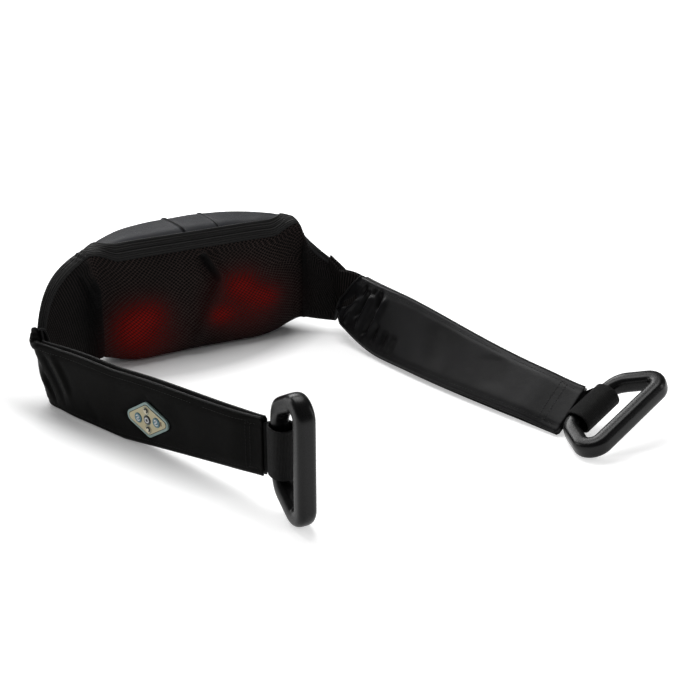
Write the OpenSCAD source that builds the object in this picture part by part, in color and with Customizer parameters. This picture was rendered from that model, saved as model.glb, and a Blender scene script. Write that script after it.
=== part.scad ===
// Shiatsu neck massager: a padded pillow with two powered kneading heads, and two
// padded straps that end in hand rings. Units are millimetres. +Z is up, the knitted
// front that meets the neck faces -Y, and the origin is on the floor under the pillow.

/* [Massage heads] */
// Distance between the two head axles
head_spacing = 136; // [128:1:150]
// Height of the head axles above the floor
head_z = 56; // [54:1:62]
// Distance of the large massage nodes from the axle
large_node_orbit = 32; // [30:0.5:34]
// Distance of the small massage nodes from the axle
small_node_orbit = 31; // [29:0.5:33]
// Radius of a large massage node
large_node_r = 15; // [13:0.5:16]
// Radius of a small massage node
small_node_r = 11; // [9:0.5:12]
// Height of a large massage node
large_node_h = 20; // [17:0.5:22]
// Height of a small massage node
small_node_h = 15; // [12:0.5:18]
// Thickness of the arm that carries the nodes
arm_t = 6; // [4:0.5:7]
// Radius of the head axle
axle_r = 4; // [3:0.1:5]

/* [Worm drive] */
// Gear module
gear_module = 1.25; // [1.1:0.05:1.4]
// Teeth on each worm wheel
wheel_teeth = 50; // [46:1:54]
// Face width of the worm wheels
wheel_w = 7; // [5:0.5:8]
// Pitch radius of the worms
worm_r = 6.5; // [6:0.1:8]
// Full turns of thread on each worm
worm_turns = 4; // [4:2:6]
// Radius of the motor shaft
shaft_r = 2.5; // [2:0.1:3]
// Radius of the motor can
motor_r = 14; // [12:0.5:16]
// Length of the motor can
motor_len = 50; // [40:1:56]
// Wall of the motor can
motor_wall = 1.2; // [0.8:0.1:2]

/* [Case] */
// Wall of the moulded case
case_wall = 2.5; // [2:0.1:3.5]
// Thickness of the front plate
plate_t = 3; // [2:0.1:4]
// Case wall beyond the head axles at each end
case_margin = 44; // [43:1:46]
// Radius of the case corners
case_corner = 14; // [8:1:18]
// Radius of the case's curved back
case_back_r = 255; // [250:1:258]
// Height at which the case's back starts to lean in towards the floor
case_lean_z = 42; // [36:1:44]
// How far the case's back has leant in at the floor
case_lean = 12; // [10:0.5:14]
// Room behind the motor up to the back of the case
case_back_room = 13.5; // [12:0.5:18]
// Room above the motor up to the top of the case
case_top_room = 10; // [8:0.5:14]
// Height of the case's underside
case_z = 12; // [10:0.5:16]
// Radius of the case screws
screw_r = 1.5; // [1.2:0.1:2]
// Thickness of the circuit boards
board_t = 1.6; // [1:0.1:2]
// Width of the main board
board_w = 54; // [40:1:58]
// Height of the main board
board_h = 52; // [40:1:56]

/* [Pillow] */
// Pillow beyond the reach of the heads, at each end
pillow_margin = 21; // [18:1:28]
// Height of the crown above the case
crown_room = 35; // [32:1:44]
// Height of the pillow's top edge at its ends
pillow_end_h = 147; // [140:1:150]
// Height of the zip tape's upper seam
band_z = 147; // [142:0.5:149]
// Height of the zip tape
band_w = 17; // [14:0.5:20]
// Depth of the padding behind the case
back_room = 17; // [14:0.5:26]
// Clearance between the node tips and the knitted front
front_room = 3; // [2:0.5:6]
// Swell of the knitted front over each head
head_swell = 5; // [3:0.5:8]
// How far the pillow's ends rise off the floor
end_rise = 15; // [8:1:22]
// Thickness of the leather back
leather_t = 2.4; // [1.6:0.1:3]
// Thickness of the knitted front
knit_t = 2.4; // [1.6:0.1:3]
// Thickness of the zip tape
tape_t = 2.8; // [1.8:0.1:3.4]

/* [Wings] */
// Length of the left wing
left_wing_len = 112; // [100:1:125]
// Turn of the left wing towards the front, degrees
left_wing_turn = 45; // [35:0.5:55]
// Length of the right wing
right_wing_len = 57; // [50:1:75]
// Turn of the right wing towards the front, degrees
right_wing_turn = 40; // [30:0.2:55]
// Thickness of a wing at its strap
wing_end_t = 16; // [14.5:0.5:20]
// Height of the left wing's end
left_wing_end_h = 79; // [77:1:88]
// Height of the right wing's end
right_wing_end_h = 90; // [84:1:96]
// Fall of the left wing's top edge, 1 for a straight line and more for a late fall
left_wing_fall = 2.4; // [1.6:0.1:2.8]
// Fall of the right wing's top edge, 1 for a straight line and less for an early fall
right_wing_fall = 0.55; // [0.5:0.05:1]

/* [Straps] */
// Thickness of a strap
strap_t = 14; // [12:0.5:14]
// Thickness of a strap at its sewn end
strap_end_t = 8.4; // [7.6:0.2:10]
// Width of the left strap at its wing
left_root_w = 75; // [70:1:78]
// Width of the right strap at its wing
right_root_w = 82; // [76:1:83]
// Width of the left strap half-way
left_mid_w = 76; // [72:1:80]
// Width of the right strap half-way
right_mid_w = 80; // [74:1:84]
// Width of a strap at its end
strap_end_w = 61; // [57:1:64]
// Thickness of the strap's leather sleeve
sleeve_t = 1.2; // [0.8:0.1:1.4]
// First leg of the left strap
left_leg_1 = 131; // [115:1:150]
// Second leg of the left strap
left_leg_2 = 212; // [195:1:240]
// Heading of the left strap's first leg, degrees from +X
left_heading_1 = -66.5; // [-75:0.5:-60]
// Heading of the left strap's second leg, degrees from +X
left_heading_2 = -71; // [-85:0.5:-60]
// Lift of the left strap's end off the floor
left_lift = 30; // [26:1:34]
// First leg of the right strap
right_leg_1 = 86; // [70:1:110]
// Second leg of the right strap
right_leg_2 = 298; // [270:1:320]
// Heading of the right strap's first leg, degrees from +X
right_heading_1 = -89; // [-100:0.5:-80]
// Heading of the right strap's second leg, degrees from +X
right_heading_2 = -73.5; // [-80:0.5:-68]
// Outward lean of the right strap past its root, degrees
right_lean_mid = 24; // [18:1:32]
// Outward lean of the right strap at its end, degrees
right_lean_end = 52; // [46:1:56]

/* [Hand rings] */
// Overall length of a ring
ring_len = 136; // [130:1:142]
// Distance from the strap bar to the grip bar
ring_reach = 53; // [50:1:56]
// Thickness of the ring in its own plane
ring_t = 18.5; // [17.5:0.5:20]
// Depth of the ring across its own plane
ring_depth = 20; // [18:0.5:22]
// Squareness of the ring's section, 2 for an ellipse
ring_power = 3; // [2.4:0.1:4]
// Spread of the ring's two legs towards the grip, degrees
ring_spread = 29; // [26:0.5:31]
// Corner radius at the strap bar, on the ring's middle line
bar_corner_r = 26; // [22:0.5:28]
// Corner radius at the grip, on the ring's middle line
grip_corner_r = 14; // [12:0.5:15]
// Radius of the strap bar
bar_r = 9; // [8:0.1:9.2]
// Width of the webbing loop on the bar
loop_w = 52; // [48:1:53]
// Inside radius of the webbing loop's rounds
loop_r = 11.4; // [11.2:0.1:12.4]
// Straight run of the webbing loop between its rounds
loop_slack = 5; // [4:0.5:7]
// Thickness of the webbing
web_t = 2.2; // [1.6:0.1:2.4]
// Heading of the left ring, degrees from +X
left_ring_heading = -90; // [-98:1:-82]
// Lean of the right ring's length from upright, degrees
right_ring_lean = 68.5; // [64:0.5:72]
// Heading of the right ring's length, degrees from +X
right_ring_heading = 13; // [8:0.5:20]
// Roll of the right ring about its length, degrees
right_ring_roll = -7; // [-12:0.5:-3]
// Reach of the left webbing loop beyond the strap
left_loop_reach = 18.5; // [16:0.5:20]
// Heading of the left webbing loop, degrees from +X
left_loop_heading = -58; // [-64:1:-54]
// Rise of the left webbing loop above the middle of the strap's end
left_loop_rise = 2.5; // [2:0.5:6]
// Reach of the right webbing loop beyond the strap
right_loop_reach = 22.5; // [20:0.5:24]
// Heading of the right webbing loop, degrees from +X
right_loop_heading = -25; // [-32:1:-20]
// Place of the right webbing loop along the ring's bar, from its middle
right_loop_shift = -4; // [-4.5:0.5:0]

/* [Control pad] */
// Place of the pad along the left strap, as a share of its length
pad_at = 0.576; // [0.52:0.002:0.62]
// Drop of the pad below the strap's middle
pad_drop = 6; // [0:0.5:9]
// Length of the pad
pad_l = 64; // [58:1:68]
// Height of the pad
pad_h = 39; // [36:0.5:42]
// Corner radius of the pad
pad_corner = 7; // [6:0.5:8]
// Height of the bezel above the strap
bezel_t = 2; // [1.5:0.1:2.6]
// Width of the bezel's rim
bezel_rim = 2; // [1.6:0.1:2.6]
// Depth of the pad's box in the strap
pad_depth = 5; // [4.6:0.1:5.6]
// Radius of the power button
power_r = 5; // [4:0.1:5.4]
// Radius of the two side buttons
side_button_r = 5.2; // [4.4:0.1:5.4]
// Radius of the upper and lower buttons
end_button_r = 4; // [3.4:0.1:4.4]
// Distance of the side buttons from the pad's centre
side_button_at = 14.3; // [13:0.1:16]
// Distance of the upper and lower buttons from the pad's centre
end_button_at = 10.4; // [10:0.1:11]
// Travel of a button
button_travel = 0.8; // [0.5:0.1:1]

/* [Power inlet] */
// Height of the inlet above the floor
inlet_z = 30; // [26:1:34]
// Radius of the inlet's socket bore
inlet_bore_r = 2.75; // [2.6:0.05:3.2]
// Radius of the inlet's centre pin
inlet_pin_r = 1.05; // [0.8:0.05:1.2]
// Radius of the inlet's barrel
inlet_r = 5; // [4.4:0.1:5.4]

/* [Clearances] */
// Play of a shaft in its bush
run_clear = 0.05; // [0.02:0.01:0.08]
// Play of a seated piece
seat_clear = 0.05; // [0.02:0.01:0.1]
// Gap between soft pieces that meet at a seam
seam_gap = 0.3; // [0.2:0.05:0.5]
// Play of the webbing behind the strap bar
loop_clear = 0.3; // [0.2:0.05:0.5]
// Gap between a moving piece and its neighbour
move_gap = 1.2; // [1:0.1:1.6]

/* [Hidden] */
$fn = 48;
eps = 0.01;

leather = "#26282d";
knit = "#141414";
tape = "#1b1b1b";
moulded = "#3a3a3c";
foam = "#6b6b66";
steel = "#b5b8bb";
brass = "#b99a52";
nylon = "#e8e4d8";
board = "#1f5a3a";
node_red = "#a01818";
satin_black = "#1c1c1d";
teal = "#2f7f86";
cream = "#cbb98a";

// Depth stack of the mechanism, from the knitted front to the back
plate_back = -7.5;
plate_front = plate_back - plate_t;
lamp_t = 1.2;
lamp_h = 2;
arm_back = plate_front - lamp_t - lamp_h - move_gap;
arm_front = arm_back - arm_t;
node_tip = arm_front - large_node_h;
drive_y = plate_back + motor_r + 1;
case_back = drive_y + motor_r + case_back_room;

// Worm and wheel
wheel_pitch_r = gear_module * wheel_teeth / 2;
wheel_tip_r = wheel_pitch_r + 0.8 * gear_module;
wheel_root_r = wheel_pitch_r - 1.12 * gear_module;
worm_tip_r = worm_r + 0.8 * gear_module;
worm_root_r = worm_r - 1.12 * gear_module;
worm_lead = PI * gear_module;
worm_len = worm_turns * worm_lead;
tooth_share = 0.4;
tooth_tip_share = 0.22;
thread_share = 0.33;
thread_tip_share = 0.2;
drive_z = head_z + wheel_pitch_r + worm_r;
head_x = head_spacing / 2;
head_reach = max(large_node_orbit + large_node_r, small_node_orbit + small_node_r);

// Case
case_half = head_x + case_margin;
case_top = drive_z + motor_r + case_top_room;
case_mid_z = (case_top + case_z) / 2;
hub_h = 3;
bush_wall = 2.5;
bush_r = axle_r + bush_wall;
boss_r = bush_r + 2.5;
wheel_front = drive_y - wheel_w / 2;
wheel_back = drive_y + wheel_w / 2;
front_boss_end = wheel_front - hub_h - 0.5;
rear_boss_start = wheel_back + hub_h + 0.5;
bush_len = 7;
axle_end = rear_boss_start + bush_len;
case_screw_inset = 10;
screw_head_r = 2 * screw_r;
screw_head_h = 1.6;
case_screws = [
    for (sx = [-1, 1]) [sx * (case_half - case_screw_inset), case_z + case_screw_inset],
    for (sx = [-1, 1]) [sx * (case_half - case_screw_inset), case_top - case_screw_inset],
    [0, case_top - case_screw_inset / 2 - 1]
];
board_y = drive_y + 12.5;
board_z = case_z + case_wall + 3;
board_hole_inset = 5;
board_holes = [
    for (sx = [-1, 1], top = [0, 1])
        [sx * (board_w / 2 - board_hole_inset), board_z + board_hole_inset + top * (board_h - 2 * board_hole_inset)]
];
post_r = 3;
shaft_block_x = head_x + worm_len / 2 + 5;
shaft_block_w = 8;
shaft_block_half = 6.5;
shaft_half = shaft_block_x + shaft_block_w;

// Pillow: plan and height profiles along X
pillow_half = head_x + head_reach + pillow_margin;
crown_z = case_top + crown_room;
front_y = node_tip - front_room - knit_t + 0.5;
back_y = case_back + back_room;
end_back_y = front_y + 31;
base_dip = 2.5;
flat_half = 0.57 * pillow_half;
front_slope = 0.1;
swell_spread = 32;
swell_z = head_z - 6;

function lerp(a, b, t) = a + (b - a) * t;
function ramp(t) = t <= 0 ? 0 : t >= 1 ? 1 : t * t * (3 - 2 * t);
function spow(v, p) = v < 0 ? -pow(-v, p) : pow(v, p);
function heading(a) = [cos(a), sin(a)];

function end_share(x) = abs(x) / pillow_half;
function base_z(x) = end_rise * pow(max(0, (abs(x) - flat_half) / (pillow_half - flat_half)), 2);
function top_z(x) = lerp(crown_z, pillow_end_h, pow(end_share(x), 2));
function rear_y(x) = lerp(back_y, end_back_y, pow(end_share(x), 3.2));

// A station is [centre x, centre y, outward angle, front half, back half, low z, high z, floor z,
// front power, back power, slope of the front]
function pillow_station(x) =
    let (back = rear_y(x), mid = lerp(front_y, back, 0.54), share = ramp((end_share(x) - 0.5) / 0.5))
    [x, mid, 90, mid - front_y, back - mid,
     base_z(x) - base_dip * (1 - share), top_z(x), base_z(x),
     lerp(5, 4, share), lerp(2.8, 2, share), front_slope * (1 - share)];

knee_left = pillow_station(-pillow_half);
knee_right = pillow_station(pillow_half);
left_wing_dir = heading(180 + left_wing_turn);
right_wing_dir = heading(-right_wing_turn);
left_hinge = [knee_left[0], knee_left[1]] + left_wing_len * left_wing_dir;
right_hinge = [knee_right[0], knee_right[1]] + right_wing_len * right_wing_dir;
hinge_room = strap_t / 2 + seam_gap;

function wing_station(knee, dir, len, turn, end_h, fall, t) =
    let (p = [knee[0], knee[1]] + t * (len - hinge_room) * dir, half = lerp(knee[3], wing_end_t / 2, ramp(t)))
    [p[0], p[1], 90 + turn * ramp(t / 0.6), half, lerp(knee[4], wing_end_t / 2, ramp(t)),
     lerp(knee[5], 1, ramp(t)), lerp(knee[6], end_h, pow(t, fall)), lerp(knee[7], 1, ramp(t)),
     knee[8], knee[9], 0];

left_wing_steps = 7;
right_wing_steps = 5;
pillow_steps = 16;
left_wing_stations = [for (i = [0 : left_wing_steps - 1])
    wing_station(knee_left, left_wing_dir, left_wing_len, left_wing_turn, left_wing_end_h, left_wing_fall,
        1 - i / left_wing_steps)];
right_wing_stations = [for (i = [1 : right_wing_steps])
    wing_station(knee_right, right_wing_dir, right_wing_len, -right_wing_turn, right_wing_end_h, right_wing_fall,
        i / right_wing_steps)];
pillow_stations = [for (i = [0 : pillow_steps]) pillow_station(lerp(-pillow_half, pillow_half, i / pillow_steps))];
body_stations = concat(left_wing_stations, pillow_stations, right_wing_stations);

// Swell of the front over the two heads, at a station's x and height z
function swell(x, z) = head_swell * max(
    exp(-(pow(x - head_x, 2) + pow(z - swell_z, 2)) / (2 * swell_spread * swell_spread)),
    exp(-(pow(x + head_x, 2) + pow(z - swell_z, 2)) / (2 * swell_spread * swell_spread)));

// Point of a station at the section angle a, sunk by the depth s below the outer surface
function section_point(st, a, s) =
    let (front = cos(a) < 0,
         power = 2 / (front ? st[8] : st[9]),
         reach = (front ? st[3] : st[4]) - s,
         mid_z = (st[5] + st[6]) / 2,
         half_z = (st[6] - st[5]) / 2 - s,
         off = reach * spow(cos(a), power),
         z = max(mid_z + half_z * spow(sin(a), power), st[7] + s),
         tilt = front ? st[10] * (z - mid_z) * abs(off) / reach : 0,
         bump = front && st[2] == 90 ? swell(st[0], z) * abs(off) / reach : 0,
         d = off + tilt - bump)
    [st[0] + d * cos(st[2]), st[1] + d * sin(st[2]), z];

// Seams of the three covers, as shares of a section's half height: the knitted front ends at
// tape_low, the zip tape at tape_high, and the leather runs over the back to the seam below
seam_low = 250;
seam_step = 0.25;
function z_share(st, z, most) = min(most, (z - (st[5] + st[6]) / 2) / ((st[6] - st[5]) / 2));
function front_angle(st, h) = 180 - asin(spow(h, st[8] / 2));
function tape_low(st) = front_angle(st, z_share(st, band_z - band_w, 0.8));
function tape_high(st) = front_angle(st, z_share(st, band_z, 0.97));
function spread(from, to, n) = [for (i = [0 : n]) lerp(from, to, i / n)];
knit_shares = [-0.93, -0.84, -0.7, -0.5, -0.28, -0.04, 0.2, 0.44];
function knit_angles(st) = concat([seam_low - seam_step],
    [for (h = knit_shares) front_angle(st, h)], [tape_low(st) + seam_step]);
function tape_angles(st) = spread(tape_low(st) - seam_step, tape_high(st) + seam_step, 2);
function leather_angles(st) = spread(tape_high(st) - seam_step, seam_low - 360 + seam_step, 16);

function quad(a, b, c, d) = [[a, b, c], [a, c, d]];
// Faces of a thick strip: m rows of k outer points, then as many inner points
function strip_faces(m, k) = let (n = m * k) concat(
    [for (i = [0 : m - 2], j = [0 : k - 2])
        each quad(i * k + j, i * k + j + 1, (i + 1) * k + j + 1, (i + 1) * k + j)],
    [for (i = [0 : m - 2], j = [0 : k - 2])
        each quad(n + i * k + j, n + (i + 1) * k + j, n + (i + 1) * k + j + 1, n + i * k + j + 1)],
    [for (i = [0 : m - 2]) each quad(i * k, (i + 1) * k, n + (i + 1) * k, n + i * k)],
    [for (i = [0 : m - 2])
        each quad(i * k + k - 1, n + i * k + k - 1, n + (i + 1) * k + k - 1, (i + 1) * k + k - 1)],
    [for (j = [0 : k - 2]) each quad(j, n + j, n + j + 1, j + 1)],
    [for (j = [0 : k - 2])
        each quad((m - 1) * k + j, (m - 1) * k + j + 1, n + (m - 1) * k + j + 1, n + (m - 1) * k + j)]);

// A cover from one list of section angles for each station
module cover_strip(arcs, thickness) {
    rows = len(body_stations);
    outer = [for (i = [0 : rows - 1], a = arcs[i]) section_point(body_stations[i], a, 0)];
    inner = [for (i = [0 : rows - 1], a = arcs[i]) section_point(body_stations[i], a, thickness)];
    polyhedron(concat(outer, inner), strip_faces(rows, len(arcs[0])));
}

// Faces round m loops of k points, with the first loop's number given by base
function side_faces(m, k, base) = [for (i = [0 : m - 2], j = [0 : k - 1])
    each quad(base + i * k + j, base + (i + 1) * k + j, base + (i + 1) * k + (j + 1) % k, base + i * k + (j + 1) % k)];
function cap_faces(k, base) = [for (j = [1 : k - 2]) [base, base + j, base + j + 1]];
function turned(faces) = [for (f = faces) [f[2], f[1], f[0]]];
function solid_faces(m, k) = concat(side_faces(m, k, 0), cap_faces(k, 0), turned(cap_faces(k, (m - 1) * k)));
// Faces of a pocket: m outer loops, then p inner loops, closed at the first and open at the last
function pocket_faces(m, p, k) = let (n = m * k, last = (m - 1) * k, deep = n + (p - 1) * k) concat(
    side_faces(m, k, 0), cap_faces(k, 0),
    turned(side_faces(p, k, n)), turned(cap_faces(k, n)),
    [for (j = [0 : k - 1]) each quad(last + (j + 1) % k, last + j, deep + j, deep + (j + 1) % k)]);

// Straps: a bent path from the hinge, with its width, lean and lift along t from 0 to 1
function strap_point(p0, p1, p2, t) = (1 - t) * (1 - t) * p0 + 2 * t * (1 - t) * p1 + t * t * p2;
function strap_slope(p0, p1, p2, t) = 2 * (1 - t) * (p1 - p0) + 2 * t * (p2 - p1);

left_bend = left_hinge + left_leg_1 * heading(left_heading_1);
left_end = left_bend + left_leg_2 * heading(left_heading_2);
right_bend = right_hinge + right_leg_1 * heading(right_heading_1);
right_end = right_bend + right_leg_2 * heading(right_heading_2);
left_path = [left_hinge, left_bend, left_end];
right_path = [right_hinge, right_bend, right_end];

floor_gap = 0.4;
lift_from = 0.4;
widest_at = 0.3;
taper_from = 0.4;
lean_from = 0.02;
lean_to = 0.16;
strap_power = 4;

function strap_w(side, t) =
    let (root_w = side < 0 ? left_root_w : right_root_w, mid_w = side < 0 ? left_mid_w : right_mid_w) t < taper_from
    ? lerp(root_w, mid_w, ramp(t / widest_at))
    : lerp(mid_w, strap_end_w, ramp((t - taper_from) / (1 - taper_from)));
function strap_half_t(t) = lerp(strap_t, strap_end_t, ramp((t - 0.9) / 0.1)) / 2;
function soft_rise(u) = u <= 0 ? 0 : 1.1 * u * u / (u + 0.1);
function strap_lean(side, t) = side < 0 ? 0
    : right_lean_mid * ramp((t - lean_from) / (lean_to - lean_from))
      + (right_lean_end - right_lean_mid) * ramp((t - lean_to) / (1 - lean_to));
function strap_lift(side, t) = side < 0 ? left_lift * soft_rise((t - lift_from) / (1 - lift_from)) : 0;
function strap_mid_z(side, t) = floor_gap + strap_lift(side, t) + strap_w(side, t) / 2 * cos(strap_lean(side, t))
    + strap_half_t(t) * sin(strap_lean(side, t)) * 0.75;

// A strap frame is [centre, up across the width, out through the thickness]
function strap_frame(side, path, t) =
    let (p = strap_point(path[0], path[1], path[2], t), g = strap_slope(path[0], path[1], path[2], t),
         h = atan2(g[1], g[0]), o = heading(h + 90 * side), lean = strap_lean(side, t))
    [[p[0], p[1], strap_mid_z(side, t)],
     [o[0] * sin(lean), o[1] * sin(lean), cos(lean)],
     [o[0] * cos(lean), o[1] * cos(lean), -sin(lean)]];

strap_loop = 16;
function strap_ring(frame, half_w, half_t) = [for (j = [0 : strap_loop - 1])
    let (a = 360 * j / strap_loop, v = half_w * spow(cos(a), 2 / strap_power), q = half_t * spow(sin(a), 2 / strap_power))
    frame[0] + v * frame[1] + q * frame[2]];

nose_angles = [20, 42, 66];
strap_steps = 14;
strap_ts = spread(0, 1, strap_steps);
inner_ts = [for (i = [0 : strap_steps]) lerp(0.004, 1, i / strap_steps)];

function nose_rings(side, path, head_angle) = [for (f = nose_angles)
    let (fr = strap_frame(side, path, 0), back = strap_t / 2 * cos(f), d = heading(head_angle))
    strap_ring([fr[0] - [back * d[0], back * d[1], 0], fr[1], fr[2]],
               strap_w(side, 0) / 2 - strap_t / 2 * (1 - sin(f)) * 0.6, strap_t / 2 * sin(f))];

function flat_list(rings) = [for (r = rings) each r];

module strap_sleeve(side, path, head_angle) {
    outer = concat(nose_rings(side, path, head_angle),
        [for (t = strap_ts) strap_ring(strap_frame(side, path, t), strap_w(side, t) / 2, strap_half_t(t))]);
    inner = [for (t = inner_ts)
        strap_ring(strap_frame(side, path, t), strap_w(side, t) / 2 - sleeve_t, strap_half_t(t) - sleeve_t)];
    faces = pocket_faces(len(outer), len(inner), strap_loop);
    polyhedron(concat(flat_list(outer), flat_list(inner)), side < 0 ? faces : turned(faces));
}

// The foam's rings share the sleeve's steps, so that the gap between them stays even
foam_steps = 12;
foam_start = 0.06;
foam_end = 0.4;

module strap_filling(side, path) {
    sink = sleeve_t + seam_gap;
    full = [for (t = inner_ts)
        strap_ring(strap_frame(side, path, t), strap_w(side, t) / 2 - sink, strap_half_t(t) - sink)];
    rings = concat([lerp(full[0], full[1], foam_start)], [for (i = [1 : foam_steps]) full[i]],
        [lerp(full[foam_steps], full[foam_steps + 1], foam_end)]);
    faces = solid_faces(len(rings), strap_loop);
    polyhedron(flat_list(rings), side < 0 ? faces : turned(faces));
}

// Moves a shape from axes x, y, z at the origin to the axes a, b, c at p
module placed(p, a, b, c) {
    multmatrix([[a[0], b[0], c[0], p[0]], [a[1], b[1], c[1], p[1]], [a[2], b[2], c[2], p[2]], [0, 0, 0, 1]])
        children();
}

// A round bar along +Y from y0 to y1
module y_bar(x, z, r, y0, y1) {
    translate([x, y0, z]) rotate([-90, 0, 0]) cylinder(r = r, h = y1 - y0);
}

// A round bar along +X from x0 to x1, on the motor's axis
module x_bar(r, x0, x1) {
    translate([x0, drive_y, drive_z]) rotate([0, 90, 0]) cylinder(r = r, h = x1 - x0);
}

module rounded_square(w, h, r) {
    square([w - 2 * r, h], center = true);
    square([w, h - 2 * r], center = true);
    for (sx = [-1, 1], sy = [-1, 1])
        translate([sx * (w / 2 - r), sy * (h / 2 - r)]) circle(r = r);
}

// The case outline, grown by g, extruded from y0 to y1
module case_block(g, y0, y1) {
    translate([0, y1, case_mid_z]) rotate([90, 0, 0]) linear_extrude(height = y1 - y0)
        rounded_square(2 * (case_half + g), case_top - case_z + 2 * g, case_corner + g);
}

// The curved back of the case, upright above and leaning in below, grown by g
module back_round(g) {
    translate([0, case_back - case_back_r, 0]) {
        cylinder(r1 = case_back_r - case_lean + g, r2 = case_back_r + g, h = case_lean_z, $fn = 160);
        translate([0, 0, case_lean_z]) cylinder(r = case_back_r + g, h = case_top, $fn = 160);
    }
}

inlet_mouth = section_point(pillow_station(0), asin(spow((inlet_z - (crown_z - base_dip) / 2)
    / ((crown_z + base_dip) / 2), 1.4)), 0)[1] + 0.6;

module rear_cover() {
    color(leather) difference() {
        cover_strip([for (st = body_stations) leather_angles(st)], leather_t);
        y_bar(0, inlet_z, inlet_r + seam_gap, case_back - 5, inlet_mouth + 20);
    }
}

module mesh_cover() {
    color(knit) cover_strip([for (st = body_stations) knit_angles(st)], knit_t);
}

module zip_tape() {
    color(tape) cover_strip([for (st = body_stations) tape_angles(st)], tape_t);
}

module wing_filling(stations) {
    sink = leather_t + seam_gap + 0.6;
    rings = [for (st = stations) [for (j = [0 : 15]) section_point(st, 360 * j / 16, sink)]];
    color(foam) polyhedron(flat_list(rings), solid_faces(len(rings), 16));
}

module left_wing_foam() {
    wing_filling(left_wing_stations);
}

module right_wing_foam() {
    wing_filling(right_wing_stations);
}

pad_foam_y0 = plate_back;
pad_foam_y1 = drive_y + 8;

module base_pad() {
    pad_half = flat_half - 4;
    color(foam) translate([-pad_half, pad_foam_y0, leather_t + seam_gap])
        cube([2 * pad_half, pad_foam_y1 - pad_foam_y0, case_z - leather_t - seam_gap]);
}

module rear_housing() {
    color(moulded) difference() {
        union() {
            difference() {
                intersection() {
                    case_block(0, plate_back, case_back + 1);
                    back_round(0);
                }
                intersection() {
                    case_block(-case_wall, plate_back - 1, case_back + 1);
                    back_round(-case_wall);
                }
            }
            intersection() {
                back_round(-eps);
                union() {
                    for (s = [-1, 1]) y_bar(s * head_x, head_z, boss_r, rear_boss_start, case_back);
                    for (p = case_screws) y_bar(p[0], p[1], screw_r + 2.2, plate_back, case_back);
                    for (p = board_holes) y_bar(p[0], p[1], post_r, board_y + board_t, case_back);
                }
            }
        }
        for (s = [-1, 1]) y_bar(s * head_x, head_z, bush_r + seat_clear, rear_boss_start - 1, axle_end);
        for (p = case_screws) y_bar(p[0], p[1], screw_r + seat_clear, plate_back - 1, plate_back + 7);
        for (p = board_holes) y_bar(p[0], p[1], screw_r + seat_clear, board_y, board_y + board_t + 6);
        y_bar(0, inlet_z, inlet_r + seat_clear, board_y + board_t, case_back + 5);
    }
}

module front_housing() {
    color(moulded) difference() {
        union() {
            case_block(0, plate_front, plate_back);
            for (s = [-1, 1]) y_bar(s * head_x, head_z, boss_r, plate_back - eps, front_boss_end);
        }
        for (s = [-1, 1]) y_bar(s * head_x, head_z, bush_r + seat_clear, plate_front - 1, front_boss_end + 1);
        for (p = case_screws) y_bar(p[0], p[1], screw_r + seat_clear, plate_front - 1, plate_back + 1);
    }
}

module screw(x, z, y_face, len) {
    y_bar(x, z, screw_r, y_face - eps, y_face + len);
    y_bar(x, z, screw_head_r, y_face - screw_head_h, y_face);
}

module housing_screws() {
    color(steel) for (p = case_screws) screw(p[0], p[1], plate_front, plate_t + 6);
}

module motor_can() {
    color(steel) difference() {
        x_bar(motor_r, -motor_len / 2, motor_len / 2);
        x_bar(motor_r - motor_wall, motor_wall - motor_len / 2, motor_len / 2 - motor_wall);
        x_bar(shaft_r + run_clear, -motor_len, motor_len);
    }
}

magnet_t = 2.4;
armature_gap = 0.6;

module motor_magnets() {
    half = motor_len / 2 - motor_wall - 6;
    color("#4a4a4a") difference() {
        x_bar(motor_r - motor_wall - seat_clear, -half, half);
        x_bar(motor_r - motor_wall - magnet_t, -motor_len, motor_len);
        translate([-motor_len, drive_y - 3, drive_z - motor_r]) cube([2 * motor_len, 6, 2 * motor_r]);
    }
}

module motor_bracket() {
    half = motor_len / 2 - 6;
    color(moulded) difference() {
        intersection() {
            translate([-half, drive_y + 4, drive_z - motor_r + 2])
                cube([2 * half, case_back - drive_y, 2 * motor_r - 4]);
            back_round(-case_wall - seat_clear);
        }
        x_bar(motor_r + seat_clear, -motor_len, motor_len);
    }
}

module shaft_bushes() {
    color(brass) for (s = [-1, 1]) difference() {
        intersection() {
            translate([s * shaft_block_x - shaft_block_w / 2, drive_y - shaft_block_half, drive_z - shaft_block_half])
                cube([shaft_block_w, case_back, 2 * shaft_block_half]);
            back_round(-case_wall - seat_clear);
        }
        x_bar(shaft_r + run_clear, s * shaft_block_x - shaft_block_w, s * shaft_block_x + shaft_block_w);
    }
}

module axle_bushes(y0, y1) {
    color(brass) for (s = [-1, 1]) difference() {
        y_bar(s * head_x, head_z, bush_r, y0, y1);
        y_bar(s * head_x, head_z, axle_r + run_clear, y0 - 1, y1 + 1);
    }
}

module front_bushes() {
    axle_bushes(plate_front, front_boss_end);
}

module rear_bushes() {
    axle_bushes(rear_boss_start, axle_end);
}

lamp_orbit = 17;
lamp_count = 6;
lamp_r = 2.5;
lamp_ring_half = 4.5;

module lamp_boards() {
    color("#e6e2da") for (s = [-1, 1]) difference() {
        y_bar(s * head_x, head_z, lamp_orbit + lamp_ring_half, plate_front - lamp_t, plate_front);
        y_bar(s * head_x, head_z, lamp_orbit - lamp_ring_half, plate_front - lamp_t - 1, plate_front + 1);
    }
}

module heat_lamps() {
    color("#d02020") for (s = [-1, 1], i = [0 : lamp_count - 1])
        y_bar(s * head_x + lamp_orbit * cos(360 * i / lamp_count), head_z + lamp_orbit * sin(360 * i / lamp_count),
              lamp_r, plate_front - lamp_t - lamp_h, plate_front - lamp_t);
}

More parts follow.
